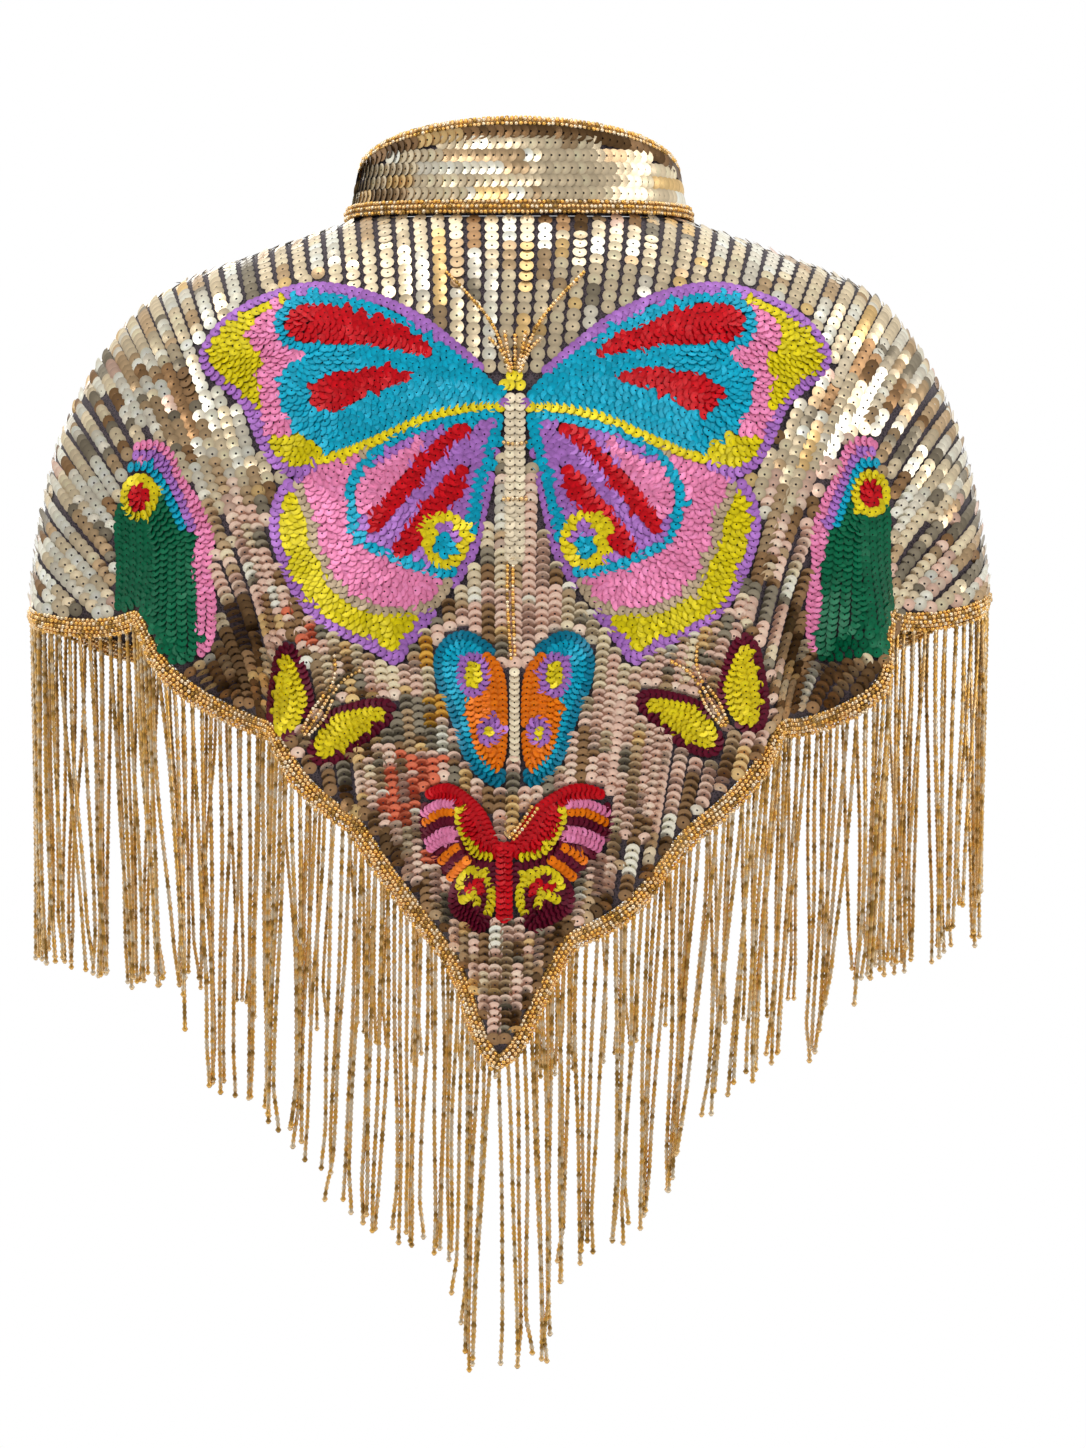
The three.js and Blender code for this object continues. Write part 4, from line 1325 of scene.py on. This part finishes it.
def side_butterfly(name, centre_x, centre_z, side, width):
    """A green design on the arm, cut off by the hem."""
    motif = Motif(name, centre_x, centre_z, grain=0.9)

    def wing(points):
        return [(u * side * width, v) for u, v in points]

    motif.fill(wing([
        (-14, 58), (0, 60), (11, 53), (17, 39), (28, 23), (35, 5), (33, -12), (35, -36), (30, -60),
        (10, -60), (8, 20), (-12, 50),
    ]), ["pink"], mirror=False)
    motif.fill(wing([
        (-24, 22), (-6, 36), (4, 35), (17, 20), (24, 4), (25, -12), (26, -36), (24, -64), (0, -64),
        (-25, -60), (-25, -10),
    ]), ["green"], mirror=False)
    motif.line(wing([(-13, 52), (0, 50), (9, 38), (17, 23), (23, 8)]), "violet", mirror=False)
    motif.line(wing([(-16, 45), (-4, 45), (4, 36), (11, 23), (18, 9)]), "turquoise", mirror=False)
    motif.ring((-9 * side * width, 28), (12, 13.5), ["yellow", "red", "turquoise"], mirror=False)
    return motif


# The designs, once they are drawn
MOTIFS = []


def all_motifs():
    """The designs on the back, drawn the first time that they're asked for."""
    MOTIFS[:] = MOTIFS or [
        large_butterfly(),
        blue_butterfly(),
        red_butterfly(),
        small_butterfly("butterfly_small_left", 110, -283, -30),
        small_butterfly("butterfly_small_right", -108, -278, 30),
        side_butterfly("butterfly_side_left", 203, -189, 1, 1.0),
        side_butterfly("butterfly_side_right", -190, -187, -1, 0.78),
    ]
    return MOTIFS


# Pieces

# How deep the net's two faces lie under the cloth's outer one, and how many meshes each sheet has
NET_DEPTHS = (0.3, 1.6)
BACK_MESHES = (180, 60)
FRONT_MESHES = (90, 44)
COLLAR_MESHES = (120, 6)
# A pointed sheet's cover is worked out as at least this share of its longest sides; the result is not kept.
LEAST_COVER = 0.3


def net_grid(angle_at, columns, rows, depth):
    """Points on the cloth at a depth under its outer face."""
    u = np.linspace(0, 1, columns + 1)
    last = hem_level(angle_at(u, float(LAST_RING)))
    levels = np.linspace(0, 1, rows + 1)[:, None] * last[None]
    angles = angle_at(u[None], levels)
    return skin(angles, levels) - normal_of(skin, angles, levels) * depth


def make_net_panel(name, angle_at, columns, rows, replaced):
    outer, inner = (net_grid(angle_at, columns, rows, depth) for depth in NET_DEPTHS)
    points, faces = shell(outer, inner)
    piece = finish_piece(add_mesh(name, points, faces), finish_of("net"), [replaced])
    across = np.linalg.norm(np.diff(outer, axis=1), axis=2)
    down = np.linalg.norm(np.diff(outer, axis=0), axis=2)
    width = across.sum(1).max() * MM
    length = down.sum(0).max() * MM
    a, b = np.diff(outer, axis=1)[:-1], np.diff(outer, axis=0)[:, :-1]
    area = np.linalg.norm(np.cross(a, b), axis=2).sum() * MM * MM
    return piece, width, length, area


# Bead golds: shades of the bead's own colour, the deepest a painted shade, and mixes with the glint gold as
# painted highlights, and how often each turns up
BEAD_SHADES = (0.45, 0.95)
BEAD_GLINTS = (0.25, 0.7)
BEAD_ODDS = (0.14, 0.28, 0.34, 0.24)
# Piping beads: their pitch as a share of the radius, how far they stray and how their sizes vary
PIPING_PITCH = 2.02
PIPING_STRAY = 0.12
PIPING_SIZES = (0.88, 1.1)


class Gathering:
    """Points, faces and colours of many beads or strands, gathered into one mesh."""

    def __init__(self):
        self.points = []
        self.faces = []
        self.tints = []
        self.total = 0

    def add(self, points, faces, tints):
        self.points.append(points)
        self.faces += [part + self.total for part in faces]
        self.tints.append(tints)
        self.total += len(points)

    def add_beads(self, points, ways, radius, rng):
        made, faces = beads(points, ways, radius)
        self.add(made, faces, np.repeat(bead_tints(len(points), rng), BEAD_POINTS, 0))

    def finish(self, name, slot, replaced=()):
        """The piece, with its faces grouped by how many corners they have."""
        sizes = sorted({part.shape[1] for part in self.faces})
        faces = [np.concatenate([part for part in self.faces if part.shape[1] == size]) for size in sizes]
        piece = add_mesh(name, np.concatenate(self.points), faces, np.concatenate(self.tints))
        return finish_piece(piece, finish_of("gold_bead"), replaced)


def bead_rows(path, normal, rows, radius, rng):
    """Rows of beads beside each other on a path. Rows are pairs of ways off the path, in millimetres."""
    gathered = Gathering()
    for out, up in rows:
        points, ways = resample(path + normal[0] * out + normal[1] * up, radius * PIPING_PITCH)
        points = points + rng.normal(0, PIPING_STRAY, points.shape)
        gathered.add_beads(points, ways, radius * rng.uniform(*PIPING_SIZES, len(points)), rng)
    return gathered


def bead_tints(count, rng):
    """Bead golds, mostly alike, with some deep ones in painted shade and some with a painted highlight."""
    base = np.array(bpy.context.scene.cape_colours.bead_gold)
    glint = np.array(PALETTE["gold_bright"])
    golds = [base * shade for shade in BEAD_SHADES] + [lerp(base, glint, share) for share in BEAD_GLINTS]
    return np.array(golds)[rng.choice(len(golds), count, p=BEAD_ODDS)]


ROOT_STEP = 0.1
LARGEST_CLUMP = 6
FEWEST_BEADS = 4
# How far a strand is drawn to its clump, and the shares of its length between which it is
CLUMP_PULL = (0.35, 0.6)
CLUMP_SPAN = (0.05, 0.85)
# A strand's waves: their length, start and size
WAVE_LENGTHS = (14, 22)
WAVE_STARTS = (0, 6)
WAVE_SIZE = 0.5
WAVE_SHARE = 0.6
# How much a strand bends aside and sways out, near its end and in its middle
END_BEND = 1.5
MIDDLE_BEND = 1.0
END_SWAY = 0.5
MIDDLE_SWAY = 0.8
BEND_SPAN = (0.86, 1.0)
SWAY_SPAN = (0.5, 1)


def strand_roots(angles, pitch):
    """Roots of the strands along the hem's strip, never crowded side by side and clear of its ends."""
    middle, out, off = hem_edge(angles)
    stops = middle + off * (SEAM_GAP * 2 + HEM_PIPING_HEIGHT + STRIP_HEIGHT / 2)
    roots = []
    last = None
    travelled = pitch / 2
    for i in range(len(stops) - 1):
        length = float(np.linalg.norm(stops[i + 1] - stops[i]))
        steps = math.ceil(length / ROOT_STEP)
        for k in range(steps):
            point = lerp(stops[i], stops[i + 1], k / steps)
            aside = STRAND_SIDE_GAP if last is None else math.hypot(*(point - last)[:2])
            travelled += length / steps
            to_end = float(np.linalg.norm(point - stops[-1]))
            if travelled >= pitch and aside >= STRAND_SIDE_GAP and to_end > STRAND_END_GAP:
                angle = lerp(angles[i], angles[i + 1], k / steps)
                roots.append((angle, point, lerp(out[i], out[i + 1], k / steps)))
                last = point
                travelled = 0
    return roots, stops


def strand_foot(point, angle):
    if abs(angle) > SIDE_SEAM_ANGLE:
        return point - UP * FRONT_STRAND_LENGTH
    x = np.clip(point[0], BACK_STRANDS[0, 0], BACK_STRANDS[-1, 0])
    foot_z = np.interp(x, BACK_STRANDS[:, 0], BACK_STRANDS[:, 1])
    sideways = np.interp(x, BACK_STRANDS[:, 0], BACK_STRANDS[:, 2])
    return np.array((point[0] + sideways, point[1], foot_z))


def clump_middles(points, rng):
    """For each strand, the middle of the clump of neighbours that it hangs in."""
    middles = np.zeros(points.shape)
    start = 0
    while start < len(points):
        end = min(start + int(rng.integers(1, LARGEST_CLUMP + 1)), len(points))
        middles[start:end] = points[start:end].mean(0)
        start = end
    return middles


def strand_path(root, foot, middle, aside, out, sizes, rng):
    """A strand's line: straight from its root, drawn to its clump below, and bent near its end."""
    length = float(np.linalg.norm(foot - root))
    count = max(int(length / (sizes.strand_bead_pitch / MM)), FEWEST_BEADS)
    t = np.linspace(0, 1, count * 2 + 1)[:, None]
    path = lerp(root, foot, t)
    bow = np.sin(t * math.pi)
    clump = float((middle - root) @ aside) * rng.uniform(*CLUMP_PULL) * smoothstep(t, *CLUMP_SPAN)
    wave = WAVE_SIZE * np.sin(t * length / rng.uniform(*WAVE_LENGTHS) + rng.uniform(*WAVE_STARTS))
    bend = rng.normal(0, END_BEND) * smoothstep(t, *BEND_SPAN) + rng.normal(0, MIDDLE_BEND) * bow
    sway = rng.normal(0, MIDDLE_SWAY) * bow + rng.normal(0, END_SWAY) * smoothstep(t, *SWAY_SPAN)
    return path + aside * (clump + wave * WAVE_SHARE + bend) + out * sway


# Between two beads of a strand: its radius and its brightness as shares of a bead's; the darker neck is
# painted shade between the beads
NECK_SIZE = 0.66
NECK_PAINTED_SHADE = 0.75
STRAND_SIDES = 5
STRAND_SIZES = (0.92, 1.12)
# The larger bead at a strand's end and the round tip below it
END_BEAD = 1.35
END_TIP = 0.5
STRIP_BEAD_PITCH = 2.5
STRIP_BEAD_RADIUS = 1.35


def fringe_mesh(angles, pitch, sizes, rng):
    """Bead strands from a strip of beads along the hem."""
    roots, stops = strand_roots(angles, pitch)
    middles = clump_middles(np.array([root[1] for root in roots]), rng)
    gathered = Gathering()
    radius = sizes.strand_radius / MM
    sides = STRAND_SIDES
    for order, (angle, point, out) in enumerate(roots):
        foot = strand_foot(point, angle)
        foot = foot + UP * STRAND_LENGTH_CHANGE * math.sin(order * STRAND_LENGTH_BEAT)
        flat = unit(out * (1, 1, 0))
        aside = np.cross(flat, UP)
        path = strand_path(point, foot, middles[order], aside, flat, sizes, rng)
        count = len(path)
        size = np.where(np.arange(count) % 2, radius * rng.uniform(*STRAND_SIZES, count), radius * NECK_SIZE)
        size[-2:] = radius * END_BEAD, radius * END_TIP
        rings = path[:, None] + spokes(sides, aside[None], flat[None]) * size[:, None, None]
        i, k = np.meshgrid(np.arange(count - 1), np.arange(sides), indexing="ij")
        a = (i * sides + k).ravel()
        b = (i * sides + (k + 1) % sides).ravel()
        lids = np.arange(sides)[None]
        lids = np.concatenate([lids[:, ::-1], lids + (count - 1) * sides])
        shade = np.repeat(bead_tints((count + 1) // 2, rng), 2, 0)[:count]
        # Painted shade: the thin necks between the beads are darkened.
        shade[::2] *= NECK_PAINTED_SHADE
        walls = np.stack([a, b, b + sides, a + sides], -1)
        gathered.add(rings.reshape(-1, 3), [walls, lids], np.repeat(shade, sides, 0))
    points, ways = resample(stops, STRIP_BEAD_PITCH)
    gathered.add_beads(points, ways, STRIP_BEAD_RADIUS, rng)
    return gathered


def curve_on_back(line, lift):
    """A path on the cloth from points given as x and z, seen from behind."""
    flat = resample(line, 1.0)[0]
    angle, level = place_on_back(flat[:, 0], flat[:, 1])
    return skin(angle, level) + normal_of(skin, angle, level) * lift


# Settings

class CapeSizes(bpy.types.PropertyGroup):
    sequin_radius: FloatProperty(
        name="Sequin radius", description="Radius of the gold sequins", default=0.0041, unit="LENGTH",
    )
    column_pitch: FloatProperty(
        name="Column pitch", description="Distance between columns of gold sequins high on the back",
        default=0.0093, unit="LENGTH",
    )
    upper_pitch: FloatProperty(
        name="Upper pitch", description="Distance between sequins of a column high on the back",
        default=0.0069, unit="LENGTH",
    )
    lower_pitch: FloatProperty(
        name="Lower pitch", description="Distance between sequins of a column low on the back",
        default=0.0042, unit="LENGTH",
    )
    arm_pitch: FloatProperty(
        name="Arm pitch", description="Distance between sequins of a column on the arms",
        default=0.0054, unit="LENGTH",
    )
    motif_radius: FloatProperty(
        name="Motif sequin radius", description="Radius of the coloured sequins", default=0.0033,
        unit="LENGTH",
    )
    motif_pitch: FloatProperty(
        name="Motif pitch", description="Distance between coloured sequins along their row",
        default=0.0042, unit="LENGTH",
    )
    piping_bead: FloatProperty(
        name="Piping bead", description="Radius of the beads on the piping", default=0.0013, unit="LENGTH",
    )
    strand_radius: FloatProperty(
        name="Strand radius", description="Radius of the fringe's bead strands", default=0.00138,
        unit="LENGTH",
    )
    strand_bead_pitch: FloatProperty(
        name="Strand bead pitch", description="Length of one bead of the fringe", default=0.003,
        unit="LENGTH",
    )
    strand_pitch_back: FloatProperty(
        name="Back strand pitch", description="Distance between fringe strands at the back",
        default=0.00635, unit="LENGTH",
    )
    strand_pitch_front: FloatProperty(
        name="Front strand pitch", description="Distance between fringe strands at the front",
        default=0.0076, unit="LENGTH",
    )
    sequin_sides: IntProperty(
        name="Sequin corners", description="How many corners a sequin's round edge has", default=12, min=6,
    )
    seed: IntProperty(name="Seed", description="Start of the random changes", default=7)


class CapeColours(bpy.types.PropertyGroup):
    net_thread: FloatVectorProperty(
        name="Net thread", description="Colour of the net's thread", subtype="COLOR",
        default=(0.085, 0.06, 0.075),
    )
    net_gap: FloatVectorProperty(
        name="Net gap", description="Colour between the net's threads", subtype="COLOR",
        default=(0.02, 0.014, 0.02),
    )
    bead_gold: FloatVectorProperty(
        name="Bead gold", description="Colour of the beads", subtype="COLOR", default=(1.0, 0.57, 0.13),
    )
    thread: FloatVectorProperty(
        name="Gold thread", description="Colour of the piping's core", subtype="COLOR",
        default=(0.52, 0.33, 0.13),
    )
    wire: FloatVectorProperty(
        name="Wire", description="Colour of the hook and eye", subtype="COLOR", default=(0.42, 0.40, 0.36),
    )


def sizes_and_chance(step):
    """The sizes, and random numbers of a step's own."""
    sizes = bpy.context.scene.cape_sizes
    return sizes, np.random.default_rng(sizes.seed * 100 + step)


# Operators

class CapeNet(bpy.types.Operator):
    """Makes the net of the back, fronts and collar as thin sheets."""
    bl_idname = "cape.net"
    bl_label = "Net"

    def execute(self, context):
        made = [
            make_net_panel("net_back", back_angle, *BACK_MESHES, "back"),
            make_net_panel("net_front_left", front_angle(1), *FRONT_MESHES, "front_left"),
            make_net_panel("net_front_right", front_angle(-1), *FRONT_MESHES, "front_right"),
        ]
        for piece, width, length, area in made:
            max(area, LEAST_COVER * width * length)
        angles = collar_angles(COLLAR_MESHES[0])
        rises = np.linspace(0, 1, COLLAR_MESHES[1] + 1)[:, None]
        face, normal = collar_skin(angles[None], rises), collar_normal(angles[None], rises)
        outer, inner = (face - normal * depth for depth in NET_DEPTHS)
        collar = add_mesh("net_collar", *shell(outer, inner))
        finish_piece(collar, finish_of("net"), ["collar"])
        length = np.linalg.norm(np.diff(outer[0], axis=0), axis=1).sum() * MM
        drop = np.linalg.norm(np.diff(outer, axis=0), axis=2).sum(0)
        area = np.trapz(drop, np.linspace(0, length, len(drop))) * MM
        return {"FINISHED"}


class CapeGoldSequins(bpy.types.Operator):
    """Sews columns of gold sequins on the back and fronts, around the coloured designs."""
    bl_idname = "cape.gold_sequins"
    bl_label = "Gold sequins"

    # Where the back's sequins are split into four pieces, as x and z
    SPLIT_X = 5
    SPLIT_Z = -175

    def execute(self, context):
        sizes, rng = sizes_and_chance(1)
        back = column_sequins(back_angle, False, all_motifs(), sizes, rng)
        left = back["points"][:, 0] > self.SPLIT_X
        upper = back["points"][:, 2] > self.SPLIT_Z
        for name, mask in (
            ("sequins_back_left_upper", left & upper), ("sequins_back_left_lower", left & ~upper),
            ("sequins_back_right_upper", ~left & upper), ("sequins_back_right_lower", ~left & ~upper),
        ):
            add_sequins(name, pick(back, mask), "gold_sequin", sizes.sequin_sides, rng)
        for name, side in (("sequins_front_left", 1), ("sequins_front_right", -1)):
            field = column_sequins(front_angle(side), side > 0, [], sizes, rng)
            add_sequins(name, field, "gold_sequin", sizes.sequin_sides, rng)
        return {"FINISHED"}


class CapeCollarSequins(bpy.types.Operator):
    """Sews level rows of gold sequins on the collar."""
    bl_idname = "cape.collar_sequins"
    bl_label = "Collar sequins"

    # Level rows up the collar, then one along its edge, in millimetres and degrees
    LEVEL_ROWS = 5
    FIRST_ROW = 12.6
    ROW_PITCH = 7.2
    PITCH = 4.6
    EDGE_INSET = 3.0
    LOWEST_EDGE = 11.0
    FRONT_MARGIN = 2.5
    STOPS = 900
    TILT = 9.0
    TILT_CHANGE = 4.0
    SAME_FINISH = 0.7

    def execute(self, context):
        sizes, rng = sizes_and_chance(2)
        parts = []
        reach = centre_front(0.0) - self.FRONT_MARGIN
        for number in range(self.LEVEL_ROWS + 1):
            level = number < self.LEVEL_ROWS
            angles = np.linspace(-reach, reach, self.STOPS)
            height = collar_height(angles)
            edge = height - self.EDGE_INSET
            drawn = np.full(len(angles), self.FIRST_ROW + number * self.ROW_PITCH) if level else edge
            keep = (drawn < edge - self.EDGE_INSET) if level else (edge > self.LOWEST_EDGE)
            angles, height, drawn = angles[keep], height[keep], drawn[keep]
            points, ways = resample(collar_skin(angles, drawn / height), self.PITCH)
            angle = np.interp(np.linspace(0, 1, len(points)), np.linspace(0, 1, len(angles)), angles)
            normals = collar_normal(angle, 0.5)
            mix = np.full(len(points), "collar" if level else "edge", object)
            same = run_starts(len(points), self.SAME_FINISH, rng)
            parts.append({
                "points": points,
                "along": -ways,
                "normals": normals,
                "radius": np.full(len(points), sizes.sequin_radius / MM),
                "lift": np.full(len(points), SEQUIN_LIFT),
                "tilt": self.TILT + rng.normal(0, self.TILT_CHANGE, len(points))[same],
                "loose": np.full(len(points), 1.0),
                "tints": colours_of(mixed_golds(mix, rng)[same], rng),
            })
        add_sequins("sequins_collar", join_fields(parts), "gold_sequin", sizes.sequin_sides, rng)
        return {"FINISHED"}


class CapeButterflies(bpy.types.Operator):
    """Sews the coloured butterfly designs on the back."""
    bl_idname = "cape.butterflies"
    bl_label = "Butterflies"

    def execute(self, context):
        sizes, rng = sizes_and_chance(3)
        for motif in all_motifs():
            field = motif.field(sizes, rng)
            halves = [(motif.name, np.ones(len(field["points"]), bool))]
            if motif.name == "butterfly_large":
                left = field["points"][:, 0] > motif.centre[0]
                halves = [(motif.name + "_left", left), (motif.name + "_right", ~left)]
            for name, mask in halves:
                add_sequins(name, pick(field, mask), "coloured_sequin", MOTIF_SIDES, rng)
        return {"FINISHED"}


class CapeBeadLines(bpy.types.Operator):
    """Adds the antennae, bodies and other lines of small gold beads."""
    bl_idname = "cape.bead_lines"
    bl_label = "Bead lines"

    LIFT = 3.4
    PITCH = 2.2
    RADIUS = 1.15
    SIZES = (0.9, 1.1)

    def execute(self, context):
        sizes, rng = sizes_and_chance(4)
        gathered = Gathering()
        for line in [each for motif in all_motifs() for each in motif.placed_bead_lines()]:
            points, ways = resample(curve_on_back(line, self.LIFT), self.PITCH)
            gathered.add_beads(points, ways, self.RADIUS * rng.uniform(*self.SIZES, len(points)), rng)
        gathered.finish("bead_lines", "bead_piping")
        return {"FINISHED"}


class CapePiping(bpy.types.Operator):
    """Covers the piping of the collar and hem with rows of gold beads."""
    bl_idname = "cape.piping"
    bl_label = "Bead piping"

    # Rows of beads round a core, as how far out of the cloth and how far along it
    TOP_ROWS = [(2.0, -1.2), (1.5, 1.3), (-0.2, 2.6), (-1.8, 1.0), (-2.0, -1.2)]
    BASE_ROWS = [(1.6, -2.9), (2.2, 0.0), (1.6, 2.9)]
    HEM_ROWS = [
        (1.4, -3.1), (2.2, -1.0), (2.2, 1.4), (1.2, 3.4), (-1.2, 3.4), (-2.1, 1.2), (-2.1, -1.2),
        (-1.3, -3.2),
    ]
    COLLAR_STOPS = 400
    HEM_STOPS = 500
    TOP_RISE = 2.8
    BASE_RISE = 4.3
    BASE_OUT = 2.3

    def execute(self, context):
        sizes, rng = sizes_and_chance(5)
        radius = sizes.piping_bead / MM
        angles = collar_angles(self.COLLAR_STOPS)
        up = collar_up(angles)
        normal = collar_normal(angles, 1.0)
        top = collar_skin(angles, 1.0) + up * self.TOP_RISE - normal
        normal_base = collar_normal(angles, 0.0)
        base = collar_skin(angles, 0.0) + up * self.BASE_RISE + normal_base * self.BASE_OUT
        jobs = [
            ("beads_collar_top", top, (normal, up), self.TOP_ROWS),
            ("beads_collar_base", base, (normal_base, up), self.BASE_ROWS),
        ]
        hems = [("beads_hem_back", BACK_ANGLES), ("beads_hem_left", FRONT_ANGLES[1]),
                ("beads_hem_right", FRONT_ANGLES[-1])]
        for name, stops in hems:
            dense = np.interp(np.linspace(0, 1, self.HEM_STOPS), np.linspace(0, 1, len(stops)), stops)
            middle, out, off = hem_edge(dense)
            jobs.append((name, middle + off * (SEAM_GAP + HEM_PIPING_HEIGHT / 2), (out, off), self.HEM_ROWS))
        for name, path, ways, rows in jobs:
            bead_rows(path, ways, rows, radius, rng).finish(name, "bead_piping")
        return {"FINISHED"}


class CapeFringe(bpy.types.Operator):
    """Hangs the bead strands from the hem."""
    bl_idname = "cape.fringe"
    bl_label = "Bead fringe"

    def execute(self, context):
        sizes, rng = sizes_and_chance(6)
        left = BACK_ANGLES[TIP_COLUMN:].copy()
        right = BACK_ANGLES[:TIP_COLUMN + 1][::-1].copy()
        left[0] += TIP_GAP_ANGLE
        right[0] -= TIP_GAP_ANGLE
        jobs = [
            ("fringe_back_left", left, sizes.strand_pitch_back),
            ("fringe_back_right", right, sizes.strand_pitch_back),
            ("fringe_front_left", FRONT_ANGLES[1], sizes.strand_pitch_front),
            ("fringe_front_right", FRONT_ANGLES[-1], sizes.strand_pitch_front),
        ]
        for node, angles, pitch in jobs:
            name = node.replace("fringe", "strands")
            fringe_mesh(angles, pitch / MM, sizes, rng).finish(name, "bead_fringe", [node])
        return {"FINISHED"}


class CapeFittings(bpy.types.Operator):
    """Gives the piping's cores, the hook and the eye their materials."""
    bl_idname = "cape.fittings"
    bl_label = "Cores and fastening"

    def execute(self, context):
        for name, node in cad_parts.items():
            if name.endswith("_trim") or "_trim_" in name:
                self.dress(node, finish_of("thread"))
            elif name in ("collar_hook", "collar_eye"):
                self.dress(node, finish_of("wire"))
        return {"FINISHED"}

    def dress(self, node, material):
        node.data.materials.clear()
        node.data.materials.append(material)


class CapeStage(bpy.types.Operator):
    """Sets the camera, the soft lights, the pale floor and the world."""
    bl_idname = "cape.stage"
    bl_label = "Stage"

    CAMERA_AT = (-0.014, 2.0, -0.288)
    VIEW_ANGLE = 24.0
    SENSOR_HEIGHT = 24.0
    FLOOR_Z = -1.45
    FLOOR_RADIUS = 2.6
    FLOOR_SIDES = 96
    # The world is white in front and darker behind.
    WORLD_TONES = [(0.35, (1.0, 1.0, 1.0)), (0.75, (0.30, 0.29, 0.28))]
    # Softboxes: place, what they face, width, height, power and colour
    LIGHTS = [
        ("key", (1.3, 2.1, 1.5), (0, 0, -0.2), 1.2, 1.2, 34, (1.0, 0.98, 0.95)),
        ("fill", (-1.9, 1.6, 0.5), (0, 0, -0.2), 1.0, 1.6, 20, (1.0, 0.98, 0.96)),
        ("top", (0.0, 0.2, 1.7), (0, 0, 0), 1.4, 1.4, 12, (1.0, 1.0, 1.0)),
        ("front", (0.7, -2.2, 0.6), (0, 0, -0.2), 1.4, 1.4, 13, (1.0, 1.0, 1.0)),
    ]

    def execute(self, context):
        self.add_camera(context)
        self.add_lights(context)
        self.add_floor(context)
        self.add_world(context)
        return {"FINISHED"}

    def add_camera(self, context):
        data = bpy.data.cameras.new("camera")
        data.sensor_fit = "VERTICAL"
        data.sensor_height = self.SENSOR_HEIGHT
        data.lens = self.SENSOR_HEIGHT / 2 / math.tan(math.radians(self.VIEW_ANGLE / 2))
        camera = bpy.data.objects.new("camera", data)
        camera.location = self.CAMERA_AT
        camera.rotation_euler = (math.radians(90), 0, math.radians(180))
        context.scene.collection.objects.link(camera)
        context.scene.camera = camera

    def add_lights(self, context):
        for name, place, target, width, height, power, colour in self.LIGHTS:
            data = bpy.data.lights.new(name, "AREA")
            data.shape = "RECTANGLE"
            data.size = width
            data.size_y = height
            data.energy = power
            data.color = colour
            lamp = bpy.data.objects.new(name, data)
            lamp.location = place
            way = Vector(target) - Vector(place)
            lamp.rotation_euler = way.to_track_quat("-Z", "Y").to_euler()
            context.scene.collection.objects.link(lamp)

    def add_floor(self, context):
        sides = self.FLOOR_SIDES
        rim = spokes(sides, np.array([(1.0, 0, 0)]), np.array([(0, 1.0, 0)]))[0] * self.FLOOR_RADIUS / MM
        rim[:, 2] = self.FLOOR_Z / MM
        floor = add_mesh("floor", rim, [np.arange(sides)[None]], smooth=False)
        material, nodes, links, shader = new_material("studio_floor")
        shader.inputs["Roughness"].default_value = 0.8
        noise = add_node(nodes, "ShaderNodeTexNoise", Scale=3.0)
        tones = [(0, [0.78] * 3), (1, [0.84] * 3)]
        add_ramp(nodes, links, noise.outputs["Fac"], shader.inputs["Base Color"], tones)
        floor.data.materials.append(material)

    def add_world(self, context):
        world = bpy.data.worlds.new("studio")
        context.scene.world = world
        world.use_nodes = True
        nodes, links = world.node_tree.nodes, world.node_tree.links
        back = nodes["Background"]
        place = add_node(nodes, "ShaderNodeTexCoord")
        parts = add_node(nodes, "ShaderNodeSeparateXYZ")
        links.new(place.outputs["Generated"], parts.inputs["Vector"])
        shift = add_node(nodes, "ShaderNodeMapRange")
        shift.inputs["From Min"].default_value = -1.0
        links.new(parts.outputs["Y"], shift.inputs["Value"])
        add_ramp(nodes, links, shift.outputs["Result"], back.inputs["Color"], self.WORLD_TONES)
        back.inputs["Strength"].default_value = 1.0
        context.scene.view_settings.view_transform = "Standard"


class CapePanel(bpy.types.Panel):
    """Lists the steps that make the cape, and its sizes and colours."""
    bl_idname = "VIEW3D_PT_cape"
    bl_label = "Shoulder cape"
    bl_space_type = "VIEW_3D"
    bl_region_type = "UI"
    bl_category = "Cape"

    def draw(self, context):
        for step in STEPS:
            self.layout.operator(step.bl_idname)
        for group in (context.scene.cape_sizes, context.scene.cape_colours):
            box = self.layout.box()
            for name in group.__annotations__:
                box.prop(group, name)


STEPS = [CapeStage, CapeNet, CapeGoldSequins, CapeCollarSequins, CapeButterflies, CapeBeadLines, CapePiping,
         CapeFringe, CapeFittings]
CLASSES = [CapeSizes, CapeColours, *STEPS, CapePanel]


def register():
    for each in CLASSES:
        bpy.utils.register_class(each)
    bpy.types.Scene.cape_sizes = PointerProperty(type=CapeSizes)
    bpy.types.Scene.cape_colours = PointerProperty(type=CapeColours)


def unregister():
    del bpy.types.Scene.cape_sizes
    del bpy.types.Scene.cape_colours
    for each in reversed(CLASSES):
        bpy.utils.unregister_class(each)


def main():
    """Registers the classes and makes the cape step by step."""
    register()
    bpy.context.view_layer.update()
    bpy.ops.cape.stage()
    bpy.ops.cape.net()
    bpy.ops.cape.gold_sequins()
    bpy.ops.cape.collar_sequins()
    bpy.ops.cape.butterflies()
    bpy.ops.cape.bead_lines()
    bpy.ops.cape.piping()
    bpy.ops.cape.fringe()
    bpy.ops.cape.fittings()


if __name__ == "__main__":
    main()
